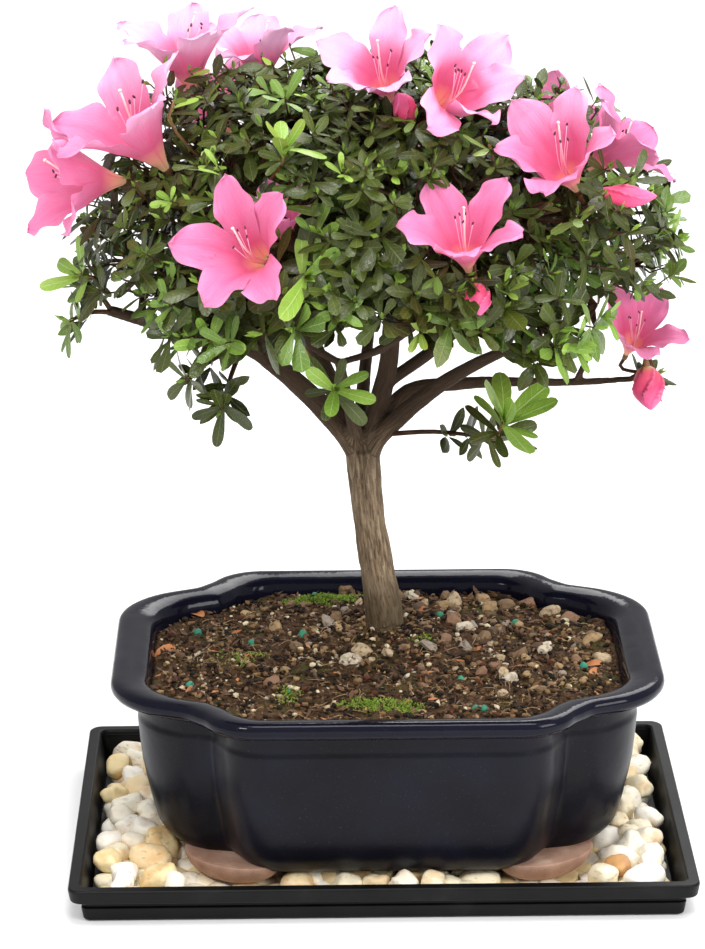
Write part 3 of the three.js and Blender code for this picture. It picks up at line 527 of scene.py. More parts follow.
def crumb_finish():
    f = Finish("soil_crumb", 0.25)
    cloud = f.noise(300.0, 4.0)
    colour = f.ramp(f.split(f.stored())[2], CRUMB_STOPS, "CONSTANT")
    colour = f.blend(f.between(cloud, 0.4, 0.7) * 0.5, colour, "33240f")
    return f.finish(colour, cloud, 0.6, 0.0006, f.ranged(cloud, 0.75, 0.95))


def soil_finish():
    f = Finish("soil", 0.2)
    crumbs = f.noise(620.0, 6.0, 0.7)
    colour = f.ramp(crumbs, [(0.3, "20160d"), (0.5, "443120"), (0.66, "6c5138"), (0.8, "9a7c58")])
    colour = f.blend(f.between(f.noise(90.0), 0.4, 0.7) * 0.5, colour, "563c28")
    colour = f.blend(f.between(f.noise(38.0), 0.54, 0.7) * 0.6, colour, "4a4c20")
    return f.finish(colour, crumbs, 0.9, 0.0016, f.ranged(crumbs, 0.8, 0.98))


def tray_finish():
    f = Finish("tray_plastic", 0.16)
    dust = f.noise(60.0, 5.0)
    colour = f.ramp(dust, [(0.35, "080808"), (0.6, "0e0e0e"), (0.8, "1c1b1b")])
    return f.finish(colour, f.noise(1600.0, 2.0), 0.12, 0.0003, f.ranged(dust, 0.36, 0.55))


def mesh_screen_finish():
    f = Finish("drain_mesh", 0.4)
    weave = f.noise(900.0, 2.0)
    colour = f.ramp(weave, [(0.35, "17261e"), (0.7, "2c4437")])
    return f.finish(colour, weave, 0.3, 0.0003, f.ranged(weave, 0.5, 0.7))


def floor_finish():
    f = Finish("floor", 0.2)
    cloud = f.noise(3.0, 2.0)
    return f.finish(f.ramp(cloud, [(0.3, "f4f4f4"), (0.7, "f8f8f8")]), roughness=f.ranged(cloud, 0.75, 0.9))


LEAVES = [
    leaf_finish("leaf", "141a07", "4a561c", "87914c", "3c3016", 0.26, 0.04),
    leaf_finish("young_leaf", "5f8626", "94b548", "c8d88e", "8a9c3c", 0.4, 0.1),
    leaf_finish("fresh_leaf", "3c551a", "70903a", "a9bc70", "5c6028", 0.35, 0.1),
]
OLD, YOUNG, FRESH, STEM = 0, 1, 2, 3
PETAL = petal_finish()
BUD = bud_finish()
BARK = bark_finish("bark", "4c3b2c", "8d7860", "baa88d", 5.6, 1.0)
TWIG = bark_finish("twig_bark", "34231a", "5f4230", "8c6a4a", 3.0, 0.0)
GREEN_STEM = plain_finish("green_stem", "77803a", "7d5a36", 0.6, 120.0)
# What a flower has besides its petals, in this order
FLOWER_PARTS = [
    plain_finish("filament", "ee8fb4", "f3b4cc", 0.5, 300.0),
    plain_finish("anther", "3b1a26", "5c2c38", 0.6, 900.0),
    plain_finish("pistil", "f3e3c4", "f6cfc8", 0.45, 300.0),
    GREEN_STEM,
    TWIG,
]
THREAD, ANTHER, PISTIL, CALYX, STALK = 1, 2, 3, 4, 5
GLAZE = glaze_finish()
CLAY = clay_finish()
PEBBLE = pebble_finish()
GRIT = grit_finish()
SOIL = soil_finish()
CRUMB = crumb_finish()
TRAY = tray_finish()
SCREEN = mesh_screen_finish()
FLOOR = floor_finish()
LITTER_PARTS = [
    plain_finish("bark_chip", "33231a", "77563c", 0.9, 260.0, 0.6, 0.0008),
    plain_finish("dry_leaf", "8f4a24", "c4834e", 0.7, 160.0, 0.4, 0.0006),
    plain_finish("rootlet", "6d5138", "a98d66", 0.85, 300.0),
]
CHIP, DRY_LEAF, ROOTLET = 0, 1, 2
FEED = plain_finish("feed_ball", "17604a", "3c9c7c", 0.7, 500.0)
MOSS = plain_finish("moss", "46661a", "97ae3c", 0.9, 300.0)


def link(name, data):
    made = bpy.data.objects.new(name, data)
    bpy.context.scene.collection.objects.link(made)
    return made


def store_grain(mesh, values):
    stored = mesh.attributes.new("grain", "FLOAT_VECTOR", "POINT")
    stored.data.foreach_set("vector", values.ravel())


def add_piece(name, shape, materials, replaced=(), smooth=True):
    """One mesh object from a gathered shape. It rides on the only body there is."""
    mesh = bpy.data.meshes.new(name)
    points = np.concatenate(shape.points) * MM
    mesh.from_pydata(points.tolist(), [], shape.faces)
    for material in materials:
        mesh.materials.append(material)
    mesh.polygons.foreach_set("material_index", np.array(shape.finishes, dtype=np.int32))
    store_grain(mesh, np.concatenate(shape.values))
    mesh.polygons.foreach_set("use_smooth", np.full(len(mesh.polygons), smooth))
    mesh.update()
    piece = link(name, mesh)
    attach(piece, "root")
    if replaced:
        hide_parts(*replaced)
    return piece


def take_result(piece):
    """Keeps what a piece's modifiers make as its own mesh."""
    depsgraph = bpy.context.evaluated_depsgraph_get()
    result = bpy.data.meshes.new_from_object(piece.evaluated_get(depsgraph), depsgraph=depsgraph)
    piece.modifiers.clear()
    piece.data = result
    return result


# Camera and light
CAMERA_AT = np.array([-31.4, -1566.3, 717.9])
CAMERA_DOWN = math.radians(18.889)
CAMERA_YAW = math.radians(0.701)
CAMERA_ROLL = math.radians(-0.292)
FOCAL_PIXELS = 3605.5
PHOTO_HEIGHT = 949
SENSOR = 36.0
FARTHEST = 30.0


def add_camera():
    level = np.array([math.cos(CAMERA_YAW), -math.sin(CAMERA_YAW), 0.0])
    flat = np.array([math.sin(CAMERA_YAW), math.cos(CAMERA_YAW), 0.0])
    ahead = flat * math.cos(CAMERA_DOWN) - np.array([0, 0, math.sin(CAMERA_DOWN)])
    rise = np.cross(level, ahead)
    right = math.cos(CAMERA_ROLL) * level + math.sin(CAMERA_ROLL) * rise
    up = -math.sin(CAMERA_ROLL) * level + math.cos(CAMERA_ROLL) * rise
    data = bpy.data.cameras.new("camera")
    data.sensor_width = SENSOR
    data.lens = FOCAL_PIXELS / PHOTO_HEIGHT * SENSOR
    data.clip_end = FARTHEST
    camera = link("camera", data)
    turn = Matrix(np.stack([right, up, -ahead], axis=1).tolist()).to_4x4()
    camera.matrix_world = Matrix.Translation(Vector(CAMERA_AT * MM)) @ turn
    bpy.context.scene.camera = camera


# Each light's place in metres, its size and its power
LIGHTS = [
    ("key", (-0.8, -1.15, 1.5), 0.42, 16.0),
    ("fill", (1.2, -1.1, 0.9), 0.8, 20.0),
    ("back", (0.5, 1.7, 1.7), 1.2, 26.0),
    ("top", (0.1, -0.25, 1.8), 0.8, 20.0),
]
LOOK_AT = Vector((0.0, 0.02, 0.18))
WORLD_STRENGTH = 0.62
FLOOR_HALF = 6.0


def add_lights():
    for name, at, size, power in LIGHTS:
        data = bpy.data.lights.new(name, "AREA")
        data.size = size
        data.energy = power
        lamp = link(name, data)
        lamp.location = at
        lamp.rotation_euler = (LOOK_AT - Vector(at)).to_track_quat("-Z", "Y").to_euler()
    world = bpy.data.worlds.new("studio")
    world.use_nodes = True
    background = world.node_tree.nodes["Background"]
    background.inputs["Color"].default_value = (1.0, 1.0, 1.0, 1.0)
    background.inputs["Strength"].default_value = WORLD_STRENGTH
    bpy.context.scene.world = world


def add_floor():
    mesh = bpy.data.meshes.new("floor")
    corners = [(x * FLOOR_HALF, y * FLOOR_HALF, 0) for x, y in ((-1, -1), (1, -1), (1, 1), (-1, 1))]
    mesh.from_pydata(corners, [], [(0, 1, 2, 3)])
    mesh.materials.append(FLOOR)
    link("floor", mesh)


# Tray: how far in from its edge each ring lies and how high, from the underside round the rim to the floor
TRAY_PROFILE = [
    (8.2, 0), (6.6, 1.2), (5.6, 7), (6.8, 7.6), (6.4, 16), (2.4, 16), (2.6, 11.4),
    (0.9, 11.4), (0, 17.2), (0.7, 18), (5.2, 18), (6, 17), (9, TRAY_FLOOR),
]
CORNER_POINTS = 9
TRAY_BEVEL = 0.45
BEVEL_FROM = math.radians(28)


def tray_loop(inset, z):
    radius = max(TRAY_CORNER - inset * 0.5, 2)
    half = TRAY_HALF - inset - radius
    loop = []
    for quarter, (sx, sy) in enumerate(((1, 1), (-1, 1), (-1, -1), (1, -1))):
        for angle in np.linspace(quarter, quarter + 1, CORNER_POINTS) * math.pi / 2:
            loop.append((sx * half[0] + radius * math.cos(angle), sy * half[1] + radius * math.sin(angle), z))
    return np.array(loop)


def build_tray():
    shape = Shape()
    rings = [tray_loop(inset, z) for inset, z in TRAY_PROFILE]
    add_loft(shape, rings, [(0, 0, 0), (0, 0, TRAY_FLOOR)])
    piece = add_piece("tray_moulded", shape, [TRAY], ["tray"], smooth=False)
    bevel = piece.modifiers.new("soft_edges", "BEVEL")
    bevel.width = TRAY_BEVEL * MM
    bevel.segments = 2
    bevel.limit_method = "ANGLE"
    bevel.angle_limit = BEVEL_FROM
    bevel.harden_normals = True


# Pot outline: long front and back lobes and rounder end lobes that meet at four notches
def arc(centre, radii, degrees, count):
    angles = np.radians(np.linspace(*degrees, count))
    return np.array(centre) + np.stack([radii[0] * np.cos(angles), radii[1] * np.sin(angles)], axis=1)


END_LOBE = arc((88, 38), (39, 37), (0, 66), 24)
LONG_LOBE = arc((60, 76), (25, 24), (24, 90), 20)


def pot_outline(count, soften, notch):
    """Points of the rim's outline about its centre, evenly spaced, with its corners softened."""
    quarter = np.concatenate([END_LOBE, [notch], LONG_LOBE])
    left, below = quarter * (-1, 1), quarter * (1, -1)
    whole = np.concatenate([quarter, left[::-1], quarter * (-1, -1), below[::-1], quarter[:1]])
    around = lengths_along(whole)[-1]
    loop = evenly_along(whole, np.linspace(0, around, count, endpoint=False))
    pitch = around / count
    reach = int(math.ceil(3 * soften / pitch))
    weights = np.exp(-0.5 * (np.arange(-reach, reach + 1) * pitch / soften) ** 2)
    weights /= weights.sum()
    return sum(w * np.roll(loop, shift, axis=0) for w, shift in zip(weights, range(-reach, reach + 1)))


POT_COLUMNS = 400
OUTLINE_SOFT = pot_outline(POT_COLUMNS, 1.6, (91.4, 76.9))
OUTLINE_CRISP = pot_outline(POT_COLUMNS, 0.8, (89.4, 74.8))
OUTLINE_ANGLES = np.arctan2(OUTLINE_SOFT[:, 1], OUTLINE_SOFT[:, 0])
OUTLINE_ORDER = np.argsort(OUTLINE_ANGLES)
OUTLINE_REACH = np.linalg.norm(OUTLINE_SOFT, axis=1)[OUTLINE_ORDER]


def pot_share(x, y):
    """How far a point lies towards the rim's outline, which is 1."""
    way = np.array([x, y]) - POT_CENTRE
    edge = np.interp(math.atan2(way[1], way[0]), OUTLINE_ANGLES[OUTLINE_ORDER], OUTLINE_REACH, period=TURN)
    return np.linalg.norm(way) / edge


# Scale of the outline and height, from the underside round the rim to the inner floor
POT_ROWS = [
    (0.70, 14.4), (0.72, 14.45), (0.742, 14.9), (0.775, 16.4), (0.802, 19.2), (0.824, 22.4), (0.840, 26),
    (0.855, 33), (0.867, 40), (0.880, 48), (0.891, 56), (0.899, 66), (0.904, 74), (0.9055, 76.5),
    (0.9045, 78), (0.8995, 79.2), (0.8985, 81), (0.902, 85), (0.906, 87), (0.914, 88.6), (0.932, 89.0),
    (0.958, 89.1), (0.976, 89.5), (0.990, 90.6), (0.998, 92.2), (1.000, 93.8), (0.998, 95.3),
    (0.992, 96.5), (0.982, 97.2), (0.968, 97.5), (0.950, 97.5), (0.930, 97.2), (0.908, 96.7),
    (0.892, 96.1), (0.879, 95.2), (0.869, 93.8), (0.863, 92.2), (0.859, 90), (0.852, 84), (0.80, 38),
    (0.73, 24), (0.70, POT_INSIDE),
]
RIM_FROM = 87.0
# Where the glaze runs thin: the heights on the rim, and how sharply the outline turns
WORN_HEIGHTS = (96.9, 90.4)
WORN_SPREAD = 0.8
TURN_SPAN = 4
TURN_GAIN, TURN_FROM = 1.1, 0.18
DRILL_SIDES = 40


def build_pot():
    shape = Shape()
    ahead = np.roll(OUTLINE_CRISP, -TURN_SPAN, axis=0) - OUTLINE_CRISP
    behind = OUTLINE_CRISP - np.roll(OUTLINE_CRISP, TURN_SPAN, axis=0)
    turning = behind[:, 0] * ahead[:, 1] - behind[:, 1] * ahead[:, 0]
    turning = turning / np.linalg.norm(ahead, axis=1) ** 2
    ridge = np.clip(turning * TURN_GAIN - TURN_FROM, 0, 1)
    rings, values = [], []
    crest = max(range(len(POT_ROWS)), key=lambda row: POT_ROWS[row][1])
    for row, (scale, z) in enumerate(POT_ROWS):
        outline = OUTLINE_CRISP if row < crest and z <= RIM_FROM else OUTLINE_SOFT
        rings.append(np.column_stack([POT_CENTRE + outline * scale, np.full(POT_COLUMNS, z)]))
        near = max(math.exp(-(((z - worn) / WORN_SPREAD) ** 2)) for worn in WORN_HEIGHTS)
        on_rim = near if scale > 0.97 else 0.0
        worn = np.maximum(ridge * (0.85 if z < RIM_FROM else 0.4), 0.45 * on_rim)
        values.append(np.column_stack([np.full(POT_COLUMNS, scale), worn, np.zeros(POT_COLUMNS)]))
    ends = [(*POT_CENTRE, POT_ROWS[0][1]), (*POT_CENTRE, POT_INSIDE)]
    add_loft(shape, rings, ends, np.concatenate([*values, np.zeros((2, 3))]))
    piece = add_piece("pot_glazed", shape, [GLAZE], ["pot"])
    for side in (-1, 1):
        drill = Shape()
        x = POT_CENTRE[0] + side * DRAIN_X
        path = [(x, POT_CENTRE[1], z) for z in (5, 18, 30)]
        add_tube(drill, path, [DRAIN_RADIUS] * 2, DRILL_SIDES, 2)
        cutter = add_piece("drill", drill, [GLAZE])
        cut = piece.modifiers.new("drain", "BOOLEAN")
        cut.object = cutter
        cut.operation = "DIFFERENCE"
        cut.solver = "EXACT"
        take_result(piece)
        bpy.data.objects.remove(cutter)
    build_feet()


def build_feet():
    """Four unglazed feet, cut flat where they stand and rounded where they meet the pot."""
    shape = Shape()
    points, faces = ball(4)
    for sx, sy in itertools.product((-1, 1), repeat=2):
        body = points * FOOT_SIZE
        body[:, 2] = np.clip(body[:, 2] + FOOT_CENTRE_Z, FOOT_REST, FOOT_TOP)
        wobble = 1 + 0.02 * value_noise(body + (40 * sx, 30 * sy, 0), 9.0, 7)
        turn = np.array(Matrix.Rotation(-sx * sy * FOOT_TURN, 2))
        flat = (body[:, :2] * wobble[:, None]) @ turn.T + POT_CENTRE + FOOT_AT * (sx, sy)
        shape.add(np.column_stack([flat, body[:, 2]]), [faces])
    add_piece("pot_feet", shape, [CLAY])


# Pebbles: a low layer over the whole tray, and larger ones heaped between the pot and the tray's wall
LOW_PITCH = 12.5
ROW_PITCH = 0.87
PEBBLE_INSET = 8.6
LOW_INSET = 9
LOW_HIGHEST = 9.2
FINE_FROM = 0.78
JITTER = (-0.8, 0.8)
LOW_SIZE = (6.4, 8.2), (5.6, 7.2), (3.6, 4.8)
# The least and greatest half sizes of the heaped pebbles
HIGH_SIZES = np.array([6.2, 5.4, 4.4]), np.array([9.8, 7.8, 6.4])
PEBBLE_SEED = 41
HIGH_TRIES = 5200
HIGH_FROM = 0.66
HIGH_LOWEST = 13.4
HEAP_TOP = 18.6
HEAP_CLOSE = 0.86
# The pot's underside over the pebbles: share of the outline, and height
UNDERSIDE = [(0.0, 13.6), (0.735, 14.2), (0.775, 16.4), (0.802, 19.2), (1.2, 19.2)]
FOOT_ROOM = (34, 28)


def pebble_room(x, y, radius):
    """The highest level that a stone's top may reach at a place."""
    share = pot_share(x, y) - radius / 118
    ground = np.abs(np.array([x, y]) - POT_CENTRE) - FOOT_AT
    if np.hypot(ground[0] / FOOT_ROOM[0], ground[1] / FOOT_ROOM[1]) < 1:
        return FOOT_REST - 0.2
    return np.interp(share, *zip(*UNDERSIDE))


def build_pebbles():
    rnd = random.Random(PEBBLE_SEED)
    low, high = Shape(), Shape()
    inside = TRAY_HALF - PEBBLE_INSET
    edge = inside - LOW_INSET
    rows = int(2 * inside[1] / (LOW_PITCH * ROW_PITCH))
    columns = int(2 * inside[0] / LOW_PITCH)
    for row, column in itertools.product(range(rows + 1), range(columns + 1)):
        x = mix(-edge[0], edge[0], (column + 0.5 * (row % 2)) / (columns + 0.5)) + rnd.uniform(*JITTER)
        y = mix(-edge[1], edge[1], row / rows) + rnd.uniform(*JITTER)
        size = drawn(rnd, *LOW_SIZE)
        top = min(pebble_room(x, y, 6.5), TRAY_FLOOR + LOW_HIGHEST)
        size[2] = min(size[2], (top - TRAY_FLOOR) / 2)
        at = (x, y, TRAY_FLOOR + size[2] + 0.1)
        level = 3 if pot_share(x, y) > FINE_FROM else 2
        add_stone(low, level, at, size, rnd, lumps=0.2, square=rnd.uniform(0.75, 0.95), tilt=0.25)
    placed = []
    for _ in range(HIGH_TRIES):
        large = rnd.uniform(0, 1) ** 1.6
        size = mix(*HIGH_SIZES, large)
        x = rnd.uniform(-1, 1) * (inside[0] - size[0])
        y = rnd.uniform(-1, 1) * (inside[1] - size[0])
        top = min(pebble_room(x, y, size[1] * 0.8), HEAP_TOP + rnd.uniform(-2.5, 0.8))
        if top < HIGH_LOWEST or pot_share(x, y) < HIGH_FROM:
            continue
        if any((x - a) ** 2 + (y - b) ** 2 < (HEAP_CLOSE * (size[1] + r)) ** 2 for a, b, r in placed):
            continue
        placed.append((x, y, size[1]))
        square = rnd.uniform(0.66, 0.92)
        add_stone(high, 3, (x, y, top - size[2]), size, rnd, lumps=0.28, square=square, tilt=0.5)
    add_piece("pebbles_low", low, [PEBBLE], ["pebbles"])
    add_piece("pebbles_high", high, [PEBBLE])


# Leaf blades, also for litter and moss: where the rows of points lie along them, and their outlines
LONG_ROWS = np.array([0, 0.14, 0.34, 0.56, 0.76, 0.9, 0.97, 1.0])
LEAF_ROWS = np.array([0, 0.2, 0.45, 0.7, 0.9, 1.0])
SHORT_ROWS = np.array([0, 0.36, 0.72, 1.0])
TINY_ROWS = np.array([0, 0.5, 1.0])
ACROSS = np.array([-1.0, -0.5, 0.0, 0.5, 1.0])
BLADE_WIDTHS = {
    "spoon": lambda t: 1.6 * t**1.15 * np.sqrt(np.clip(1 - t**5, 0, 1)),
    "broad": lambda t: 1.3 * t**0.72 * np.sqrt(np.clip(1 - t**3.2, 0, 1)),
    "oval": lambda t: np.sin(math.pi * t**1.22) ** 0.8,
    "lance": lambda t: np.sin(math.pi * t**0.92) ** 0.85,
}


def add_blade(shape, at, turn, long, wide, arch, fold, tint, outline, finish=0, along=SHORT_ROWS, curl=0.0):
    """One leaf blade from its base, along its arched rib, with a shallow fold. It stores place and tint."""
    rows, columns = len(along), len(ACROSS)
    half = BLADE_WIDTHS[outline](along) * wide / 2 + 0.12 * wide * (1 - along) ** 6
    bend = arch * along
    step = np.diff(along, prepend=0)
    x = np.cumsum(np.cos(bend) * step) * long
    z = -np.cumsum(np.sin(bend) * step) * long
    side = half[:, None] * ACROSS[None, :]
    lift = fold * np.abs(side) - curl * side**2 / max(wide, 1)
    ups = np.stack([np.sin(bend), np.zeros(rows), np.cos(bend)], axis=1)
    points = np.stack([x, np.zeros(rows), z], axis=1)[:, None, :] + lift[:, :, None] * ups[:, None, :]
    points[:, :, 1] += side
    places = np.broadcast_arrays(along[:, None], ACROSS[None, :], float(tint))
    values = np.stack(places, axis=-1)[:-1].reshape(-1, 3)
    tip = np.array([[x[-1], 0, z[-1]]])
    points = np.concatenate([points[:-1].reshape(-1, 3), tip]) @ turn.T + at
    values = np.concatenate([values, [[1.0, 0.0, tint]]])
    start = (rows - 2) * columns
    fan = [[start + k, start + k + 1, (rows - 1) * columns] for k in range(columns - 1)]
    shape.add(points, [grid_faces(rows - 1, columns), np.array(fan)], values, finish)


# Soil with grit, crumbs, litter, moss and feed balls
SOIL_SEED = 7
SOIL_SCALE = 0.858
SOIL_SIDE = [(0.699, 21.4), (0.80, 38.0), (0.847, 80.0)]
SOIL_RINGS = 70
SOIL_NOISE = [(1.4, 7.0, 11), (1.0, 2.6, 12), (0.5, 1.3, 13)]
# Grit: how many, the least and greatest radius, the ball's level, and how much it keeps to the back right
GRIT_SORTS = [(900, 0.5, 1.5, 1, 0.3), (210, 1.6, 3.6, 2, 0.85)]
GRIT_TONES = [0.05, 0.3, 0.45, 0.6, 0.88]
LARGE_GRIT = [
    (52, 76), (63, 70), (84, 62), (38, 74), (73, 72), (93, 54), (-16, 92), (-14, -2), (-8, 6), (101, 24),
    (60, -22), (104, 2),
]
TRUNK_CLEAR = 11
GRIT_SIZE = (1, 1.4), (0.8, 1.0), (0.6, 0.85)
LARGE_SIZE = (3.6, 5.2), (3.0, 4.0), (2.3, 3.0)
CRUMBS = 5400
CRUMB_RADII = (0.35, 1.5)
NEAR_TRUNK_EVERY = 12
NEAR_TRUNK = 9
# Litter: how many pieces, the range of their lengths, how wide they are for it, and how many are dry leaves
LITTER = 3600
CHIP_LONGS, CHIP_WIDTHS = (1.2, 6.0), (0.25, 0.6)
DRY_SHARE = 0.05
# Large dry leaves: the place, the length and the turn
DRY_LEAVES = [
    (-98, 24, 19, 4.4), (-84, 60, 11, 2.2), (97, -16, 13, 0.4), (-62, 8, 9, 5.0), (24, 60, 10, 3.6),
    (104, -6, 10, 2.9),
]
ROOTLETS = 300
ROOTLET_RADII = [0.17, 0.15, 0.1]
ROOTLET_REACH = (2.0, 6.0)
FEED_BALLS = [
    (-36, 31), (30, 54), (37, -25), (42, -57), (46, -59), (95, -8), (-42, -35), (-86, 40), (-60, 24),
    (-88, -26), (66, 46), (-30, 84),
]
BALL_RADII = (1.5, 2.1)
# Moss: the patch's middle, its half width and depth, and how many tufts
MOSS_PATCHES = [
    (-24, 78, 23, 8, 1300), (-6, -52, 15, 8, 620), (8, -56, 12, 8, 460), (-42, -38, 7, 12, 170),
    (22, 20, 9, 7, 90), (-66, 4, 16, 10, 130),
]
MOSS_LONGS = (0.9, 1.9)
EITHER_WAY = (-1, 1)


def soil_height(x, y):
    reach = np.hypot(x - TRUNK_AT[0], y - TRUNK_AT[1]) / SOIL_SPREAD
    ripple = np.sin(x * 0.21 + y * 0.13) * np.cos(y * 0.24 - x * 0.09)
    return SOIL_EDGE + SOIL_MOUND * np.exp(-reach * reach) + 0.9 * ripple


def soil_spots(rnd, count, margin, reach=SOIL_SCALE, near_trunk=0):
    """Random places on the soil that keep a margin from the pot's wall, some of them near the trunk."""
    for k in range(count):
        if near_trunk and k % near_trunk == 0:
            x, y = TRUNK_AT + wander(rnd, NEAR_TRUNK, NEAR_TRUNK)
        else:
            x, y = POT_CENTRE + drawn(rnd, EITHER_WAY, EITHER_WAY) * POT_HALF * reach
        if pot_share(x, y) <= SOIL_SCALE - margin:
            yield k, x, y


def build_ground():
    ground = Shape()
    rings = []
    for scale, z in SOIL_SIDE:
        rings.append(np.column_stack([POT_CENTRE + OUTLINE_SOFT * scale, np.full(POT_COLUMNS, z)]))
    for share in np.linspace(1, 0.012, SOIL_RINGS):
        flat = POT_CENTRE + OUTLINE_SOFT * SOIL_SCALE * share
        z = soil_height(flat[:, 0], flat[:, 1])
        spot = np.column_stack([flat, np.zeros(POT_COLUMNS)])
        for high, cell, seed in SOIL_NOISE:
            z = z + high * value_noise(spot, cell, seed)
        rings.append(np.column_stack([flat, z - (1.0 if share == 1 else 0.0)]))
    ends = [(*POT_CENTRE, SOIL_SIDE[0][1]), (*POT_CENTRE, soil_height(*POT_CENTRE))]
    add_loft(ground, rings, ends)
    add_piece("soil_ground", ground, [SOIL], ["soil"])


def add_grit(shape, rnd, count, low, high, level, bias):
    for _ in range(count):
        angle = rnd.uniform(0, TURN)
        reach = math.sqrt(rnd.uniform(0.0, 1.0)) * 0.95 * SOIL_SCALE
        x, y = POT_CENTRE + reach * POT_HALF * (math.cos(angle), math.sin(angle))
        near = math.hypot(x - TRUNK_AT[0], y - TRUNK_AT[1]) < TRUNK_CLEAR
        if near or pot_share(x, y) > SOIL_SCALE - 0.02:
            continue
        if rnd.random() > mix(1, 0.5 + 0.5 * math.tanh((x * 0.6 + y - 10) / 40), bias):
            continue
        radius = mix(low, high, rnd.random() ** 2)
        size = radius * drawn(rnd, *GRIT_SIZE)
        at = (x, y, soil_height(x, y) + 0.35 * radius)
        add_stone(shape, level, at, size, rnd, lumps=0.42, square=0.75, tilt=0.7)


def build_grit(rnd):
    grit = Shape()
    for sort in GRIT_SORTS:
        add_grit(grit, rnd, *sort)
    for x, y in LARGE_GRIT:
        size = drawn(rnd, *LARGE_SIZE)
        tone = (rnd.choice(GRIT_TONES), rnd.random(), rnd.random())
        add_stone(grit, 3, (x, y, soil_height(x, y) + 1.3), size, rnd, lumps=0.3, square=0.8, tone=tone)
    add_piece("soil_grit", grit, [GRIT], smooth=False)


def build_crumbs(rnd):
    crumbs = Shape()
    points, faces = ball(1)
    for k, x, y in soil_spots(rnd, CRUMBS, 0.015, near_trunk=NEAR_TRUNK_EVERY):
        radius = mix(*CRUMB_RADII, rnd.random() ** 2.2)
        size = radius * np.array([rnd.uniform(0.9, 1.8), 1, rnd.uniform(0.7, 1)])
        spin = turned(rnd.uniform(0, TURN))
        body = (points * size * (1 + 0.3 * value_noise(points + k, 0.8, 3))[:, None]) @ spin.T
        at = (x, y, soil_height(x, y) + 0.5 + 0.5 * size[2] + rnd.uniform(-0.3, 0.6))
        crumbs.add(body + at, [faces], np.tile((0, 0, rnd.random()), (len(body), 1)))
    add_piece("soil_crumbs", crumbs, [CRUMB], smooth=False)


def build_litter(rnd):
    """Chips of bark, a few dry leaves and fine roots."""
    litter = Shape()
    for _, x, y in soil_spots(rnd, LITTER, 0.025):
        at = (x, y, soil_height(x, y) + rnd.uniform(0.4, 1.7))
        turn = turn_to((*wander(rnd, 0.5, 0.5), 1), rnd.uniform(0, TURN))
        long = mix(*CHIP_LONGS, rnd.random() ** 1.8)
        finish = DRY_LEAF if rnd.random() < DRY_SHARE else CHIP
        wide = long * rnd.uniform(*CHIP_WIDTHS)
        arch, fold = drawn(rnd, (-0.5, 0.5), (-0.2, 0.3))
        add_blade(litter, at, turn, long, wide, arch, fold, rnd.random(), "broad", finish, TINY_ROWS)
    for x, y, long, spin in DRY_LEAVES:
        at = (x, y, soil_height(x, y) + 1.6)
        turn = turn_to((0.1, -0.25, 1), spin)
        add_blade(litter, at, turn, long, long * 0.55, 0.7, 0.25, 0.7, "lance", DRY_LEAF, LONG_ROWS)
    for _, x, y in soil_spots(rnd, ROOTLETS, 0.08, reach=0.8):
        angle = rnd.uniform(0, TURN)
        way = np.array([math.cos(angle), math.sin(angle)]) * rnd.uniform(*ROOTLET_REACH)
        bow = np.array([-way[1], way[0]]) * rnd.uniform(-0.4, 0.4)
        here = np.array([x, y])
        ground = soil_height(x, y)
        path = [(*(here - way), ground + 0.5), (*(here + bow), ground + rnd.uniform(1.0, 2.0))]
        add_tube(litter, [*path, (*(here + way), ground + 0.6)], ROOTLET_RADII, 4, 4, ROOTLET)
    add_piece("soil_litter", litter, LITTER_PARTS)


def build_feed_balls(rnd):
    balls = Shape()
    for x, y in FEED_BALLS:
        radius = rnd.uniform(*BALL_RADII)
        at = (x, y, soil_height(x, y) + 0.45 * radius)
        add_stone(balls, 3, at, radius * np.ones(3), rnd, lumps=0.2, square=0.9)
    add_piece("feed_balls", balls, [FEED])


def build_moss(rnd):
    moss = Shape()
    for x, y, wide, deep, count in MOSS_PATCHES:
        for _ in range(count):
            spread = rnd.random() ** 0.8
            angle = rnd.uniform(0, TURN)
            px = x + wide * spread * math.cos(angle)
            py = y + deep * spread * math.sin(angle)
            if pot_share(px, py) > SOIL_SCALE - 0.02:
                continue
            lean = (*wander(rnd, 0.4, 0.4), 1)
            at = (px, py, soil_height(px, py) + 0.5 + 1.5 * (1 - spread))
            for _ in range(2):
                turn = turn_to(lean, rnd.uniform(0, TURN)) @ turned(-rnd.uniform(0.7, 1.4), "Y")
                long = rnd.uniform(*MOSS_LONGS)
                add_blade(moss, at, turn, long, 0.5, 0.5, 0.1, rnd.random(), "lance", along=TINY_ROWS)
    add_piece("moss", moss, [MOSS])


def build_soil():
    rnd = random.Random(SOIL_SEED)
    build_ground()
    build_grit(rnd)
    build_crumbs(rnd)
    build_litter(rnd)
    build_feed_balls(rnd)
    build_moss(rnd)


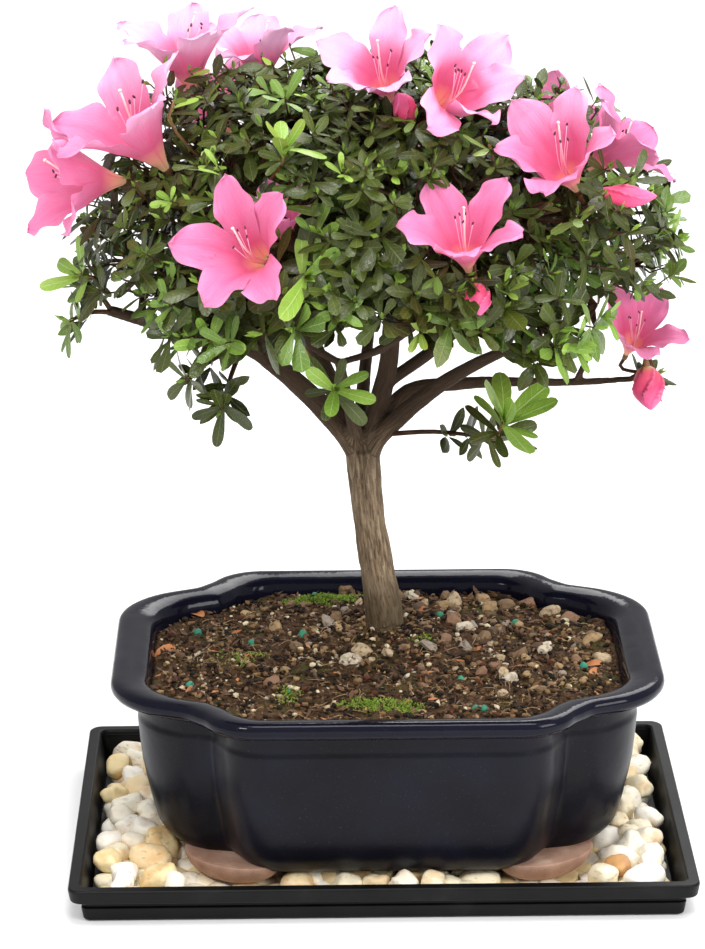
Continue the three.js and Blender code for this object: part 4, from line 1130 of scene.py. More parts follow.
# Trunk and limbs as in the CAD model: the points each passes through and its radii along the way
MAIN_LIMBS = [
    ([(4, 38, 62), (3.3, 38, 94), (-0.9, 38, 126), (-5, 38, 156), (-7, 38, 182)], [10, 9.2, 7.9, 7.6, 8.4]),
    (
        [(-5, 38, 172), (-13, 37, 187), (-36, 28, 216), (-61, 18, 239), (-82, 14, 245), (-123, 12, 258)],
        [6.2, 5.4, 4.7, 4.1, 3.4, 2.6],
    ),
    ([(-50, 22, 229), (-53, 18, 250), (-60, 8, 272)], [3.4, 3, 2.6]),
    (
        [(-7, 38, 176), (-12, 40, 192), (-20, 46, 208), (-30, 56, 228), (-44, 72, 256)],
        [5.6, 4.6, 4.2, 3.8, 3],
    ),
    ([(-5, 38, 176), (1, 38, 205), (5, 37, 222), (7, 34, 255), (8, 30, 296)], [5.8, 4.8, 4.2, 3.6, 2.6]),
    (
        [(-5, 38, 174), (-1, 36, 186), (11, 29, 201), (25, 19, 216), (42, 4, 232), (60, -12, 246)],
        [5.4, 4.7, 4.1, 3.6, 3.0, 2.3],
    ),
    (
        [(0, 38, 188), (13, 42, 208), (40, 42, 212), (65, 36, 214.5), (91, 30, 216), (119, 25, 219)],
        [4, 3.5, 3, 2.3, 1.8, 1.4],
    ),
    ([(4, 38, 214), (21, 50, 222), (36, 62, 230), (58, 76, 246)], [3.4, 3, 2.6, 2.2]),
    ([(-8, 40, 186), (-6, 62, 206), (-2, 84, 232)], [3.8, 3.2, 2.4]),
    ([(-10, 34, 190), (-14, 10, 214), (-18, -14, 240)], [3.4, 2.8, 2.2]),
    ([(92, 30, 216), (96, 28, 226), (101, 24, 242)], [1.6, 1.5, 1.4]),
]
FORK_STEPS = 10
ROOT_ANGLES = (15, 110, 200, 290)
# How far out a root lies and how high, and its radii
ROOT_RUN = [(1, 89), (12, 84), (24, 66)]
ROOT_RADII = [7, 4.6, 2]
# Leafy clumps: the middle and the half sizes of each
LOW_CLUMP = (25, 21, 14)
HIGH_CLUMP = (28, 23, 15)
CLUMPS = [
    ((98, 42, 257), LOW_CLUMP), ((54, 82, 259), LOW_CLUMP), ((-8, 92, 258), LOW_CLUMP),
    ((-68, 80, 259), LOW_CLUMP), ((-108, 46, 264), LOW_CLUMP), ((-98, -14, 274), LOW_CLUMP),
    ((-42, -34, 266), LOW_CLUMP), ((17, -36, 264), LOW_CLUMP), ((76, -20, 259), LOW_CLUMP),
    ((52, 44, 303), HIGH_CLUMP), ((-46, 62, 303), HIGH_CLUMP), ((-60, 8, 309), HIGH_CLUMP),
    ((40, -14, 304), HIGH_CLUMP), ((-4, 34, 334), (28, 23, 13)),
]
CLUMP_AT = np.array([at for at, _ in CLUMPS], float)
CLUMP_SIZE = np.array([size for _, size in CLUMPS], float)


def fork_cost(place, at):
    """The length of a branch from a place, and more where it would hang down."""
    return np.linalg.norm(place - at) + 2.5 * max(0, place[2] - at[2] + 12)


def side_branches():
    """One branch from the limbs to the middle of each leafy clump."""
    forks = []
    for path, radii in MAIN_LIMBS[1:]:
        line = smooth_path(path, FORK_STEPS + 1)
        forks += [(line[k], mix(radii[0], radii[-1], k / FORK_STEPS)) for k in range(2, FORK_STEPS + 1)]
    made = []
    for at in CLUMP_AT:
        start, radius = min(forks, key=lambda fork: fork_cost(fork[0], at))
        middle = (start + at) / 2 + (0, 0, -0.06 * np.linalg.norm(start - at))
        made.append(([start, middle, at], [min(0.75 * radius, 2.8), 2, 1.5]))
    return made


def root_paths():
    made = []
    for angle in np.radians(ROOT_ANGLES):
        way = np.array([math.cos(angle), math.sin(angle)])
        made.append(([(*(TRUNK_AT + reach * way), z) for reach, z in ROOT_RUN], ROOT_RADII))
    return made


LIMB_SIDES, LIMB_STEPS = 14, 26
LIMB_SAMPLES = 80
BARK_VOXEL = 0.95
BARK_SMOOTHING = 4
# Between these heights the bark follows the trunk alone
ROOTS_UNDER, FORK_FROM = 105.0, 187.0
BARK_RIDGE = 0.42
BARK_KNOT = 0.45
# How finely the ridges run round and along a limb, the share of each, and its seed
RIDGES = [((3.2, 3.2, 0.085), 1.0, 21), ((6.5, 6.5, 0.2), 0.6, 22)]


def limb_samples(limbs):
    """Places along the middle of each limb, with its frame, its length so far and its radius there."""
    samples = []
    even = np.linspace(0, 1, LIMB_SAMPLES)
    for path, radii in limbs:
        centres = smooth_path(path, LIMB_SAMPLES)
        _, side, other = frames_along(centres)
        thick = np.interp(even, np.linspace(0, 1, len(radii)), radii)
        for sample in zip(centres, side, other, lengths_along(centres), thick):
            if path is MAIN_LIMBS[0][0] or not ROOTS_UNDER < sample[0][2] < FORK_FROM:
                samples.append(sample)
    return samples


def build_wood():
    """All limbs as one skin, with the bark's ridges pushed out of it."""
    limbs = MAIN_LIMBS + side_branches() + root_paths()
    shape = Shape()
    for path, radii in limbs:
        add_tube(shape, path, radii, LIMB_SIDES, LIMB_STEPS)
    samples = limb_samples(limbs)
    tree = KDTree(len(samples))
    for k, sample in enumerate(samples):
        tree.insert(sample[0], k)
    tree.balance()
    piece = add_piece("wood", shape, [BARK], ["trunk_and_branches"])
    skin = piece.modifiers.new("skin", "REMESH")
    skin.mode = "VOXEL"
    skin.voxel_size = BARK_VOXEL * MM
    piece.modifiers.new("smooth", "SMOOTH").iterations = BARK_SMOOTHING
    mesh = take_result(piece)
    if not mesh.materials:
        mesh.materials.append(BARK)
    count = len(mesh.vertices)
    flat = np.empty(count * 3)
    mesh.vertices.foreach_get("co", flat)
    points = flat.reshape(-1, 3) / MM
    mesh.vertices.foreach_get("normal", flat)
    normals = flat.reshape(-1, 3)
    grain = np.empty((count, 3))
    thickness = np.empty(count)
    for i, point in enumerate(points):
        centre, side, other, travelled, thickness[i] = samples[tree.find(point)[1]]
        away = point - centre
        angle = math.atan2(np.dot(away, other), np.dot(away, side))
        grain[i] = (math.cos(angle), math.sin(angle), travelled)
    ridges = sum(share * value_noise(grain * fine, 1.0, seed) for fine, share, seed in RIDGES)
    knots = value_noise(points, 11.0, 23)
    push = np.clip(thickness / 9, 0.25, 1) * (BARK_RIDGE * ridges + BARK_KNOT * knots)
    points = (points + normals * push[:, None]) * MM
    mesh.vertices.foreach_set("co", points.ravel())
    if "grain" in mesh.attributes:
        mesh.attributes.remove(mesh.attributes["grain"])
    store_grain(mesh, grain)
    mesh.polygons.foreach_set("use_smooth", np.full(len(mesh.polygons), True))
    mesh.update()


# Leaves in whorls at the ends of twigs
TOWARD_FRONT = np.array([0.0, -0.946, 0.324])
# Flowers whose faces stay free of leaves as seen from the front, and the length and width of that way
CLEAR_BLOOMS = (
    "front_left", "front_centre", "right_upper", "low_right", "top_right", "top_centre", "upper_left",
    "far_left",
)
CLEAR_FROM, CLEAR_LONG, CLEAR_WIDE = 22, 60, 21
# The open cup of a flower of size 1: where it starts and ends, and how it widens
CUP_FROM, CUP_TO = 4, 38
CUP_NARROW, CUP_SPREAD, CUP_WIDE = 2.5, 0.034, 30


def crown_point(direction, share):
    down = CROWN_DOWN if direction[2] < 0 else CROWN_UP
    reach = np.array([*CROWN_REACH, down])
    total = (np.abs(direction / reach) ** CROWN_POWER).sum()
    return CROWN_CENTRE + direction * share / total ** (1 / CROWN_POWER)


def along_axis(points, axis):
    """How far points lie along an axis, and how far aside from it."""
    depth = points @ axis
    return depth, np.linalg.norm(points - depth[:, None] * axis, axis=1)


def in_bloom(points):
    """Which points lie in the open cup of a flower, where no leaf grows."""
    points = np.atleast_2d(points)
    found = np.zeros(len(points), bool)
    for name, base, facing, size, *_ in BLOOMS:
        axis = unit(facing)
        cup = size * BLOOM_SIZE
        depth, aside = along_axis(points - base, axis)
        if name in CLEAR_BLOOMS:
            toward, beside = along_axis(points - base - axis * CLEAR_FROM * cup, TOWARD_FRONT)
            found |= (toward > 0) & (toward < CLEAR_LONG) & (beside < CLEAR_WIDE * cup)
        wide = cup * np.minimum(CUP_NARROW + CUP_SPREAD * (depth / cup) ** 2, CUP_WIDE)
        found |= (depth > CUP_FROM * cup) & (depth < CUP_TO * cup) & (aside < wide)
    return found


def leaning(basis, angle, lean):
    """The way out at an angle, the way that leans from the axis towards it, and the turn of a blade there."""
    out = math.cos(angle) * basis[:, 0] + math.sin(angle) * basis[:, 1]
    along = math.cos(lean) * basis[:, 2] + math.sin(lean) * out
    up = math.sin(lean) * basis[:, 2] - math.cos(lean) * out
    return out, along, np.column_stack([along, np.cross(up, along), up])


# Leaves of a whorl: how unevenly they stand round it, lean, twist and are tinted, and their sizes
ROUND_SLIP = (-0.3, 0.3)
LEAN_SLIP = (-0.4, 0.4)
TINT_SLIP = (-0.35, 0.35)
LEAF_SIZES, LEAF_WIDTHS = (0.7, 1.2), (0.35, 0.48)
LEAF_ARCHES, LEAF_FOLDS = (-0.05, 0.7), (0.05, 0.3)
LEAF_CURL = 0.5
LEAF_STARTS = 0.7
HEART_LEAVES = 3
HEART_TURN = GOLDEN * 1.3
HEART_LEANS, HEART_SIZES = (0.2, 0.6), (0.25, 0.5)
HEART_WIDTH = 0.34


def add_whorl(
    shape, rnd, at, axis, size, count, tilt, finish, tone, lead=4.0, outline="broad", rows=LONG_ROWS
):
    """A rosette of blades round a shoot's tip, with small new leaves at its heart."""
    basis = turn_to(axis, rnd.uniform(0, TURN))
    for i in range(count):
        angle = (i + rnd.uniform(*ROUND_SLIP)) * TURN / count
        out, along, turn = leaning(basis, angle, tilt + rnd.uniform(*LEAN_SLIP))
        twist = turned(rnd.uniform(*LEAN_SLIP), "X")
        long = size * rnd.uniform(*LEAF_SIZES)
        start = at + LEAF_STARTS * out - basis[:, 2] * rnd.uniform(0, lead)
        wide = long * rnd.uniform(*LEAF_WIDTHS)
        tint = min(max(tone + rnd.uniform(*TINT_SLIP), 0), 1)
        arch, fold = drawn(rnd, LEAF_ARCHES, LEAF_FOLDS)
        if in_bloom([start + 0.5 * long * along, start + long * along]).any():
            continue
        blade = (long, wide, arch, fold, tint, outline, finish, rows, LEAF_CURL)
        add_blade(shape, start, turn @ twist, *blade)
    for i in range(HEART_LEAVES):
        angle = i * HEART_TURN + rnd.uniform(*ROUND_SLIP)
        turn = leaning(basis, angle, rnd.uniform(*HEART_LEANS))[2]
        long = size * rnd.uniform(*HEART_SIZES)
        wide = long * HEART_WIDTH
        add_blade(shape, at, turn, long, wide, -0.3, 0.4, rnd.random(), "lance", YOUNG, TINY_ROWS)


# Nested domes of shoots: how many, the share of the crown's reach, its spread, and the size of the leaves
SHELLS = [(1000, 0.94, 0.06, 1.0), (620, 0.8, 0.07, 1.0), (300, 0.6, 0.09, 1.15)]
# Leaf tone of each dome: painted shade makes the deeper domes darker
SHELL_PAINTED_SHADE = (0.6, 0.22, 0.05)
SHELL_TURN = 1.7
DOME_HEIGHTS = (0.985, -0.5)
CROWN_SEED = 5
LEAF_LONG = 11.6
LEAF_GROWTH_Z = (255, 300, 350)
LEAF_GROWTH = (1.35, 1.12, 0.95)
FRESHNESS = (0.5, 0.75, 1.0)
YOUNG_SHARE = 0.07
FRESH_SHARE = 0.14
# How much the shoots wander from the dome's own directions, and how far they turn up
DOME_WANDER = (0.05, 0.05, 0.05)
SHOOT_WANDER = (0.3, 0.3, 0.25)
SHOOT_RISE = (0, 0, 0.45)
CROWN_SIZES = (0.75, 1.3)
YOUNG_SIZE = 0.75
YOUNG_TILT, GROWN_TILT = 0.7, 1.12
# Whorls that face up by more than this are painted lighter, as painted sunlight
PAINTED_SUN_FACING, PAINTED_SUN_TONE = 0.6, 0.12
LEAF_COUNTS = [4, 5, 5, 6, 6]
LEAF_OUTLINES = ["oval", "oval", "broad", "spoon"]
# How low the leaves may hang along the crown, from its left end to its right end
SKIRT_X = (-150, -110, -90, -50, 0, 40, 70, 100, 130, 150)
SKIRT_Z = (276, 264, 250, 262, 266, 258, 246, 248, 268, 272)
HANG = 5.0
# Leaves round each flower's foot: the shoots, how far out and along they stand, their lean and size
COLLAR = 7
COLLAR_OUT, COLLAR_ALONG = (10, 16), (-5, 5)
COLLAR_LEAN = 0.7
COLLAR_SIZE = 0.95
FORK_EVERY = 8
FORK_THICK, TIP_THICK = 0.85, 0.5
# The space in front of the lowest flower's upper lobes, which no twig crosses
OVER_LOW_BLOOM = (np.array([98.0, -45.0, 256.0]), np.array([121.0, 40.0, 284.0]))
# Shoots seen in front of the flowers at the top left, and which way they point
FRONT_TIPS = [
    (-101, 5, 364), (-91, 2, 360), (-88, -8, 350), (-84, 10, 369), (-73, 12, 366), (-64, 22, 367),
    (-55, 20, 364), (-47, 26, 368), (-39, 24, 367), (-77, 3, 358), (-61, 5, 359), (-39, 36, 374),
    (-70, 20, 371), (-48, 8, 360), (-52, 30, 371), (-30, 30, 368), (-95, 12, 371), (-92, 22, 368),
]
FRONT_FACING = np.array([-0.15, -0.55, 0.8])
FRONT_WANDER = (0.25, 0.25, 0.25)
# Twigs: how they bow, wander and taper
TWIG_MIDDLE, TWIG_BOW = 0.55, 0.12
TWIG_SLIP = (-0.07, 0.07)
TWIG_TAPER = np.array([1.5, 1.1, 1.0, 0.8])


def above_skirt(at, hang=0.0):
    return at[2] - hang > np.interp(at[0], SKIRT_X, SKIRT_Z) and not in_bloom(at)[0]


def crown_tips(rnd):
    """Places and directions of the shoots, spread evenly over nested domes."""
    for shell, (count, share, spread, size) in enumerate(SHELLS):
        for k in range(count):
            height = mix(*DOME_HEIGHTS, (k + 0.5) / count)
            angle = k * GOLDEN + SHELL_TURN * shell
            flat = math.sqrt(1 - height * height)
            direction = np.array([flat * math.cos(angle), flat * math.sin(angle), height])
            direction = unit(direction + wander(rnd, *DOME_WANDER))
            at = crown_point(direction, share + spread * rnd.uniform(-1, 1))
            facing = unit(direction + (wander(rnd, *SHOOT_WANDER) + SHOOT_RISE))
            if above_skirt(at, HANG):
                yield at, facing, size, shell


def collar_tips(rnd):
    """Shoots close round the foot of each flower, so that its tube rises out of leaves."""
    for _, foot, facing, *_ in BLOOMS:
        basis = turn_to(facing, rnd.uniform(0, TURN))
        for k in range(COLLAR):
            angle = k * TURN / COLLAR + rnd.uniform(*ROUND_SLIP)
            out = math.cos(angle) * basis[:, 0] + math.sin(angle) * basis[:, 1]
            at = np.array(foot) + out * rnd.uniform(*COLLAR_OUT) + basis[:, 2] * rnd.uniform(*COLLAR_ALONG)
            if above_skirt(at):
                yield at, unit(basis[:, 2] + COLLAR_LEAN * out), COLLAR_SIZE, 1
    for at in FRONT_TIPS:
        yield np.array(at, float), unit(FRONT_FACING + wander(rnd, *FRONT_WANDER)), 1.0, 0


def nearest(places, at, sizes=1.0):
    return int(np.argmin(np.linalg.norm((places - at) / sizes, axis=1)))


def add_twig(shape, rnd, start, end, facing, thick):
    span = np.linalg.norm(end - start)
    middle = mix(start, end, TWIG_MIDDLE) - unit(facing) * TWIG_BOW * span
    middle = middle + drawn(rnd, *[TWIG_SLIP] * 3) * span
    back = end - unit(facing) * min(6.0, 0.3 * span)
    add_tube(shape, [start, middle, back, end], thick * TWIG_TAPER, 4, 3)


def crosses(start, end, low, high):
    points = [mix(start, end, share) for share in (0.25, 0.45, 0.6, 0.75, 0.9)]
    return any(np.all(point > low) and np.all(point < high) for point in points)


def build_crown():
    rnd = random.Random(CROWN_SEED)
    clumps = [Shape() for _ in CLUMPS]
    held = [[] for _ in CLUMPS]
    for at, facing, size, shell in itertools.chain(crown_tips(rnd), collar_tips(rnd)):
        clump = nearest(CLUMP_AT, at, CLUMP_SIZE)
        held[clump].append((at, facing))
        kind = rnd.random() * np.interp(at[2], LEAF_GROWTH_Z, FRESHNESS)
        young = kind < YOUNG_SHARE and shell == 0
        finish = YOUNG if young else FRESH if kind < YOUNG_SHARE + FRESH_SHARE else OLD
        long = LEAF_LONG * size * rnd.uniform(*CROWN_SIZES) * (YOUNG_SIZE if young else 1.0)
        long *= np.interp(at[2], LEAF_GROWTH_Z, LEAF_GROWTH)
        count = rnd.choice(LEAF_COUNTS)
        # Painted shade darkens the deeper domes, and painted sunlight lightens whorls that face up
        tone = SHELL_PAINTED_SHADE[shell] + PAINTED_SUN_TONE * (facing[2] > PAINTED_SUN_FACING)
        outline = "broad" if young else rnd.choice(LEAF_OUTLINES)
        tilt = YOUNG_TILT if young else GROWN_TILT
        whorl = {"outline": outline, "rows": LEAF_ROWS}
        add_whorl(clumps[clump], rnd, at, facing, long, count, tilt, finish, tone, **whorl)
    twigs = Shape()
    for number, (shape, centre, tips) in enumerate(zip(clumps, CLUMP_AT, held), 1):
        add_piece(f"leaves_{number:02}", shape, LEAVES, [f"foliage_{number:02}"])
        forks = [(mix(centre, at, 0.5), facing) for at, facing in tips[::FORK_EVERY]]
        for fork, facing in forks:
            if not crosses(centre, fork, *OVER_LOW_BLOOM):
                add_twig(twigs, rnd, centre, fork, facing, FORK_THICK)
        for at, facing in tips:
            start = min(forks, key=lambda fork: np.linalg.norm(fork[0] - at))[0]
            if at[0] > OVER_LOW_BLOOM[1][0] or not crosses(start, at, *OVER_LOW_BLOOM):
                add_twig(twigs, rnd, start, at, facing, TIP_THICK)
    add_piece("twigs", twigs, [TWIG])


# New shoots: the foot, the way each points, its leaves, their length, how far out it stands, how wide it is
NEW_SHOOTS = [
    ((-43, -42, 337), (0.15, -0.45, 0.88), 6, 16, 12, 0.8),
    ((-33, -60, 293), (0.3, -0.9, 0.3), 7, 25, 0, 1.15),
    ((-74, -42, 259), (-0.1, -0.95, 0.3), 5, 17, 12, 0.9),
    ((-20, -40, 236), (0.1, -0.9, 0.4), 4, 19, 0, 0.9),
    ((56, -34, 218), (0.35, -0.45, 0.8), 8, 24, 0, 0.8),
    ((-92, -14, 354), (0.3, -0.1, 0.95), 5, 12, 8, 0.6),
    ((134, 4, 292), (0.8, -0.4, 0.4), 5, 16, 0, 0.9),
    ((48, -33, 343), (-0.25, -0.5, 0.85), 5, 13.5, 2, 0.7),
    ((-128, -4, 278), (-0.8, -0.5, 0.3), 5, 17, 8, 0.8),
    ((30, 108, 340), (0.1, 0.5, 0.86), 5, 17, 12, 0.8),
    ((-96, 78, 300), (-0.5, 0.6, 0.5), 5, 17, 0, 0.9),
]
SHOOT_SEED = 77
# Limb sprays: where each starts, its tips and its leaves
LIMB_SPRAYS = [
    ("left_end", (-121, 12, 257), [(-140, 2, 256), (-134, 8, 274)], FRESH),
    ("right_end", (117, 25, 219), [(128, 22, 222)], OLD),
    ("low_left", (-62, 17, 239), [(-72, -8, 216), (-88, 0, 228)], OLD),
    ("low_right", (2, 34, 190), [(50, -2, 200)], OLD),
]
SPRAY_WHORLS = (0.84, 0.64)
STALKS_FROM = np.concatenate([CLUMP_AT, [tips[-1] for _, _, tips, _ in LIMB_SPRAYS]])


def build_shoots():
    rnd = random.Random(SHOOT_SEED)
    for number, (at, facing, leaves, long, push, tilt) in enumerate(NEW_SHOOTS, 1):
        shape = Shape()
        axis = unit(facing)
        tip = at + axis * push
        add_whorl(shape, rnd, tip, axis, long, leaves, tilt, YOUNG, 0.5, lead=5.0)
        add_whorl(shape, rnd, tip - axis * 7, axis, long * 0.92, 6, 1.35, OLD, 0.7, lead=3.0)
        start = STALKS_FROM[nearest(STALKS_FROM, tip)]
        add_tube(shape, [start, tip - axis * 9, tip], [0.9, 0.75, 0.7], 6, 8, STEM)
        add_piece(f"shoot_{number}", shape, [*LEAVES, GREEN_STEM], [f"new_shoot_{number}"])
    for name, start, tips, finish in LIMB_SPRAYS:
        shape = Shape()
        start = np.array(start, float)
        for tip in np.array(tips, float):
            lift = unit(unit(tip - start) + (0, 0, 0.35))
            add_whorl(shape, rnd, tip, lift, 16, 7, 1.2, finish, 0.6, lead=5.0)
            for share in SPRAY_WHORLS:
                add_whorl(shape, rnd, mix(start, tip, share), lift, 14, 4, 1.1, finish, 0.5, outline="oval")
            middle = mix(start, tip, 0.5) + (0, 0, 2)
            add_tube(shape, [start, middle, tip], [1.3, 1.1, 0.8], 7, 8, STEM)
        add_piece(f"spray_of_{name}", shape, [*LEAVES, TWIG], [f"spray_{name}"])


# Blooms: the foot of the tube, the way each faces, its size and turn, and how each lobe leans out and aside
BLOOM_SIZE = 0.74
BLOOM_SEED = 31
EVEN = (0.0, 0.0, 0.0, 0.0, 0.0)
BLOOMS = [
    (
        "upper_left", (-93.8, -1.1, 325.7), (-0.56, -0.2, 0.8), 1.5, 0.926,
        (0.7, 0.57, 0.65, 0.64, 0.75), (0, 0.01, 0.01, -0.1, 0.08),
    ),
    (
        "far_left", (-111.7, 2.9, 320.6), (-0.95, -0.3, 0.1), 1.32, 0.017,
        (0.7, 0.65, 0.41, 0.86, 0.46), (0, 0.03, -0.05, -0.01, 0.03),
    ),
    (
        "front_left", (-48.5, -41.5, 293.7), (-0.48, -0.73, 0.49), 1.22, 0.129,
        (0.8, 0.72, 0.67, 0.92, 0.74), (-0.04, 0.02, 0.04, -0.16, 0.14),
    ),
    ("front_left_rear", (-45, -31, 300), (0.05, -0.42, 0.9), 0.78, 0.62, (0.25, 0.3, 0.22, 0.3, 0.25), EVEN),
    (
        "top_left", (-82.5, 27, 352), (-0.16, -0.06, 0.98), 1.3, 0.124,
        (0.8, 0.7, 0.7, 0.7, 0.77), (0.03, 0, -0.02, 0, 0),
    ),
    (
        "top_rear", (-52, 49, 350), (-0.06, -0.06, 1), 1.08, 0.948,
        (0.95, 0.78, 0.7, 1.03, 0.46), (-0.02, -0.01, 0, 0.03, 0),
    ),
    (
        "top_centre", (6, 5.8, 354.9), (-0.26, -0.52, 0.82), 1.15, 0.093,
        (0.78, 0.8, 0.53, 0.7, 0.58), (-0.07, 0.06, 0.02, 0, -0.02),
    ),
    (
        "top_right", (23.3, -9, 353.8), (0.51, -0.64, 0.58), 1.25, 0.134,
        (0.61, 0.54, 0.97, 0.35, 0.28), (-0.25, -0.11, 0.32, -0.13, 0.16),
    ),
    (
        "right_upper", (87.4, -22.3, 320.4), (-0.38, -0.47, 0.8), 1.28, 0.022,
        (0.47, 0.65, 0.3, 0.75, 0.69), (0.1, -0.05, 0.01, -0.07, 0),
    ),
    (
        "right_rear", (93.3, 13.8, 318.9), (0.73, -0.08, 0.68), 1.11, 0.09,
        (0.57, 0.78, 0.7, 0.52, 0.87), (-0.06, 0.02, 0, 0.03, 0.01),
    ),
    (
        "front_centre", (38.4, -51.3, 291.8), (-0.13, -0.45, 0.88), 1.18, 0.814,
        (0.76, 0.68, 0.71, 0.64, 0.6), (-0.08, 0.02, 0.04, -0.03, 0.05),
    ),
    (
        "low_right", (114.4, 23.1, 231), (0.22, -0.52, 0.83), 0.92, 0.066,
        (0.68, 0.7, 0.53, 0.77, 0.77), (0.09, 0, -0.04, 0.04, -0.08),
    ),
    ("back_left", (-66.1, 92.8, 317), (-0.38, 0.72, 0.58), 1.1, 0.2, (0.75, 0.7, 0.8, 0.7, 0.65), EVEN),
    ("back_centre", (12.4, 106.2, 303.8), (0.1, 0.86, 0.5), 1.15, 0.6, (0.8, 0.75, 0.7, 0.85, 0.7), EVEN),
    ("back_right", (72.8, 87.7, 311.7), (0.48, 0.68, 0.55), 1.05, 0.4, (0.7, 0.65, 0.75, 0.7, 0.6), EVEN),
]
LOBES = 5
LOBE_TURN = TURN / LOBES
PETAL_ROWS = 26
PETAL_COLUMNS = 15
TUBE_END = 0.4
TUBE_FOOT = 1.3
CUP_RADIUS = 11.5
TUBE = 20.0
LOBE_LONG = 29.0
LOBE_LONGS, LOBE_WIDTHS = (0.97, 1.04), (10.4, 12.4)
# How deep the petals' waves, furrows and middle crease are, and how many or how wide
RIPPLE, RIPPLES = 2.1, 12
FURROW, FURROWS = 0.38, 10.5
CREASE, CREASE_WIDE = 0.8, 0.16
# How far the lobes roll back at the tip, bulge below it, and draw back at their sides
ROLL_BACK, BULGE = 5.0, 1.6
SIDES_BACK, SIDES_SHORT = 3.6, 1.4
# How strong the blotch is on the highest lobe, and on the two beside it
BLOTCHES = {0: 1.0, 1: 0.6, LOBES - 1: 0.6}
UP = np.array([0, 0, 1.0])


def add_corolla(shape, rnd, leans, spreads, turn, scale, at):
    """A funnel of five fused petals that part into broad waved lobes. The highest lobe has the blotch."""
    t = 1 - np.linspace(1, 0, PETAL_ROWS)[:, None] ** 1.2
    u = np.linspace(-1, 1, PETAL_COLUMNS)[None, :]
    middles = [(i + 0.5) * LOBE_TURN for i in range(LOBES)]
    rises = [turn[2, 0] * math.cos(a) + turn[2, 1] * math.sin(a) for a in middles]
    highest = int(np.argmax(rises))
    f = t / TUBE_END
    tube_radius = TUBE_FOOT + (CUP_RADIUS - TUBE_FOOT) * np.clip(f, 0, 1.5) ** 1.5
    s = np.clip((t - TUBE_END) / (1 - TUBE_END), -0.3, 1)
    body = np.clip(s, 0, 1)
    blend = smoothstep(0.3, 0.55, t)[..., None]
    for lobe, (middle, lean, spread) in enumerate(zip(middles, leans, spreads)):
        angle = middle + spread
        out = np.array([math.cos(angle), math.sin(angle), 0])
        across = np.array([-math.sin(angle), math.cos(angle), 0])
        along = out * math.sin(lean) + UP * math.cos(lean)
        back = out * math.cos(lean) - UP * math.sin(lean)
        long = LOBE_LONG * rnd.uniform(*LOBE_LONGS)
        width = rnd.uniform(*LOBE_WIDTHS)
        around = middle + u * LOBE_TURN / 2
        rise = (TUBE + 1) * f - 1 + 0 * u
        funnel = np.stack([tube_radius * np.cos(around), tube_radius * np.sin(around), rise], axis=-1)
        fullness = 0.74 + 0.28 * np.sin(math.pi * np.clip(body / 1.15, 0, 1))
        half = width * fullness * np.sqrt(np.clip(1 - body**4.4, 0, 1))
        phase = rnd.uniform(0, 6.28)
        waves = np.sin(RIPPLES * body + phase + 2.0 * u) * smoothstep(0.1, 0.5, body)
        ripple = RIPPLE * np.abs(u) ** 3 * waves
        furrow = FURROW * np.sin(FURROWS * u + phase) * smoothstep(0.05, 0.4, body) * (1 - 0.4 * body)
        curl = ROLL_BACK * body**2.4 - BULGE * np.sin(math.pi * body)
        curl = curl - SIDES_BACK * u**2 * (1 - body) ** 1.2 - u**2 * body
        crease = CREASE * np.exp(-((u / CREASE_WIDE) ** 2)) * (1 - 0.6 * body)
        offset = curl + ripple + crease + furrow + 0.8 * u
        forward = s * long - SIDES_SHORT * u**2 * smoothstep(0.6, 1.0, body)
        petal = out * CUP_RADIUS + UP * TUBE + along * forward[..., None]
        petal = petal + across * (half * u)[..., None] + back * offset[..., None]
        points = mix(funnel, petal, blend) * scale
        blotch = BLOTCHES.get((lobe - highest) % LOBES, 0.0)
        values = np.stack(np.broadcast_arrays(t, u, blotch), axis=-1)
        shape.add(points.reshape(-1, 3) @ turn.T + at, [grid_faces(PETAL_ROWS, PETAL_COLUMNS)], values)


# The pistil and the stamens: how many in all, the radius, and the half sizes of what each ends in
THREADS = 6
PISTIL_TALL = 40
PISTIL_RADIUS, STAMEN_RADIUS = 0.5, 0.22
STIGMA_SIZE = np.array([0.85, 0.85, 0.7])
ANTHER_SIZE = np.array([0.5, 0.5, 1.0])
STAMEN_TALLS = (27, 36)
THREAD_SPREADS, THREAD_SWAYS = (2.5, 6.0), (3.5, 9)


def add_threads(shape, rnd, turn, scale, at):
    """Fine stamens with dark anthers and one longer pale pistil, all rising out of the throat."""
    rise = turn.T @ UP
    rise[2] = 0
    sway = unit(rise) if np.linalg.norm(rise) > 0.05 else np.array([1.0, 0, 0])
    for k in range(THREADS):
        pistil = k == 0
        angle = k * GOLDEN
        spread = np.array([math.cos(angle), math.sin(angle), 0]) * rnd.uniform(*THREAD_SPREADS)
        height = PISTIL_TALL if pistil else rnd.uniform(*STAMEN_TALLS)
        end = spread * (0.3 if pistil else 1) + sway * rnd.uniform(*THREAD_SWAYS) + UP * height
        start = 0.15 * spread + UP * 1.5
        bend = 0.35 * spread - 1.2 * sway + UP * height * 0.55
        path = np.array([start, bend, end]) * scale @ turn.T + at
        radius = (PISTIL_RADIUS if pistil else STAMEN_RADIUS) * scale
        add_tube(shape, path, [radius] * 3, 5, 9, PISTIL if pistil else THREAD)
        size = STIGMA_SIZE if pistil else ANTHER_SIZE
        finish = PISTIL if pistil else ANTHER
        add_stone(shape, 2, path[-1], size * scale, rnd, lumps=0.05, tilt=0.6, finish=finish)


SEPAL_LEAN = 0.22 - math.pi / 2


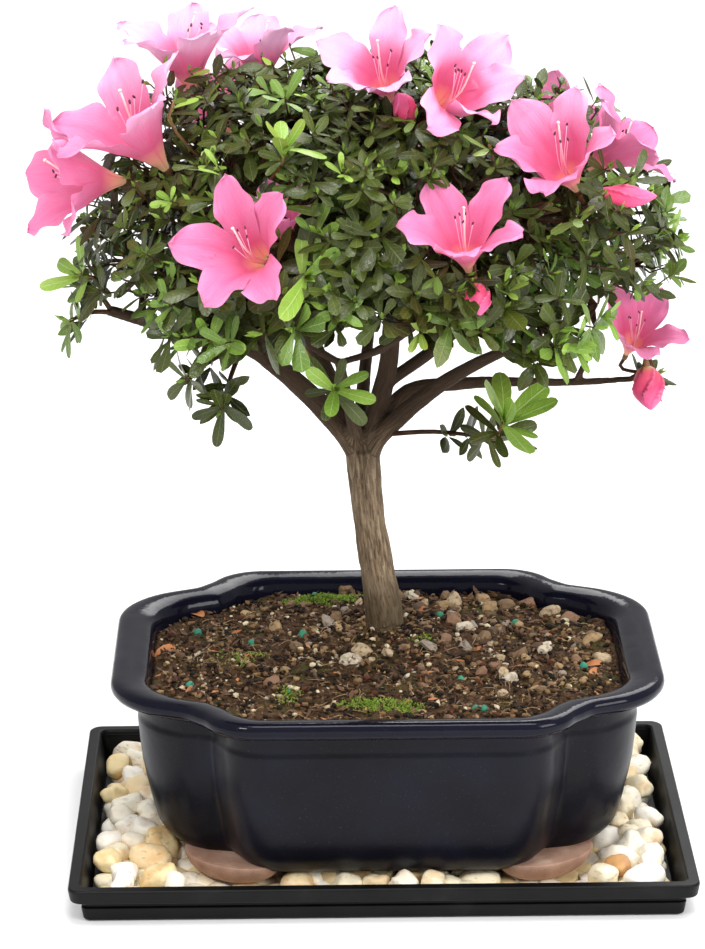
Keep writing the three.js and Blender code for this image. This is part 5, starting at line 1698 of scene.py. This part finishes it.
def add_calyx(shape, rnd, turn, scale, at):
    """The green cup under a flower or bud, with its sepals and its stalk."""
    axis = turn[:, 2]
    cup = [at - axis * 2.4, at, at + axis * 2.6 * scale]
    add_tube(shape, cup, [1.2, 1.9 * scale, 1.7 * scale], 10, 4, CALYX)
    for k in range(LOBES):
        sepal = turn @ turned(k * LOBE_TURN) @ turned(SEPAL_LEAN, "Y")
        add_blade(shape, at, sepal, 4.6 * scale, 2.2 * scale, -0.1, 0.3, rnd.random(), "lance", CALYX)
    start = STALKS_FROM[nearest(STALKS_FROM, at)]
    add_tube(shape, [start, at - axis * 9, at - axis * 1.5], [1.1, 0.85, 0.9], 7, 8, STALK)


def build_blooms():
    rnd = random.Random(BLOOM_SEED)
    for name, foot, facing, size, roll, leans, spreads in BLOOMS:
        scale = size * BLOOM_SIZE
        base = np.array(foot, float)
        turn = turn_to(facing, roll * TURN)
        shape = Shape()
        add_corolla(shape, rnd, leans, spreads, turn, scale, base)
        add_threads(shape, rnd, turn, scale, base)
        add_calyx(shape, rnd, turn, scale, base)
        add_piece(f"flower_{name}", shape, [PETAL, *FLOWER_PARTS], [f"bloom_{name}"])


# Buds: the foot, the way each points, its size and how plump it is
BUDS = [
    ((14, -16, 351), (-0.35, -0.4, 0.85), 0.78, 1.25), ((41, -60, 290), (0.1, -0.6, -0.79), 0.7, 1.55),
    ((90, -25, 318), (0.94, -0.28, 0.1), 1.5, 0.68), ((123, 14, 229), (0.1, -0.3, -0.95), 0.95, 1.45),
]
BUD_SEED = 13
BUD_PROFILE = [
    (0.0, 0.8), (0.09, 3.0), (0.3, 4.5), (0.5, 5.0), (0.7, 4.3), (0.86, 2.8), (0.96, 1.2), (1.0, 0.1),
]
BUD_LONG = 22.0
BUD_ROWS, BUD_COLUMNS = 26, 40
BUD_TWIST = 1.9
BUD_CALYX = 1.1


def build_buds():
    rnd = random.Random(BUD_SEED)
    t = np.linspace(0, 1, BUD_ROWS)[:, None]
    angle = np.linspace(0, TURN, BUD_COLUMNS, endpoint=False)[None, :]
    wrap = (angle * LOBES / TURN - BUD_TWIST * t) % 1.0
    fold = smoothstep(0.72, 1.0, wrap)
    folded = np.interp(t, *zip(*BUD_PROFILE)) * (0.9 + 0.3 * wrap * np.sin(math.pi * t) ** 0.6)
    values = np.stack(np.broadcast_arrays(t, fold, 0.0), axis=-1)
    for number, (foot, facing, size, plump) in enumerate(BUDS, 1):
        base = np.array(foot, float)
        turn = turn_to(facing)
        radius = folded * size * plump
        height = t * BUD_LONG * size + 0 * angle
        points = np.stack([radius * np.cos(angle), radius * np.sin(angle), height], axis=-1)
        shape = Shape()
        faces = [grid_faces(BUD_ROWS, BUD_COLUMNS, closed=True)]
        shape.add(points.reshape(-1, 3) @ turn.T + base, faces, values)
        add_calyx(shape, rnd, turn, BUD_CALYX * size, base)
        add_piece(f"folded_bud_{number}", shape, [BUD, *FLOWER_PARTS], [f"bud_{number}"])


# The whole scene
bpy.context.scene.view_settings.view_transform = "Standard"
add_camera()
add_lights()
add_floor()
build_tray()
build_pebbles()
build_pot()
build_soil()
build_wood()
build_crown()
build_shoots()
build_blooms()
build_buds()
for side in ("left", "right"):
    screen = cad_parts["drain_screen_" + side]
    screen.data.materials.clear()
    screen.data.materials.append(SCREEN)
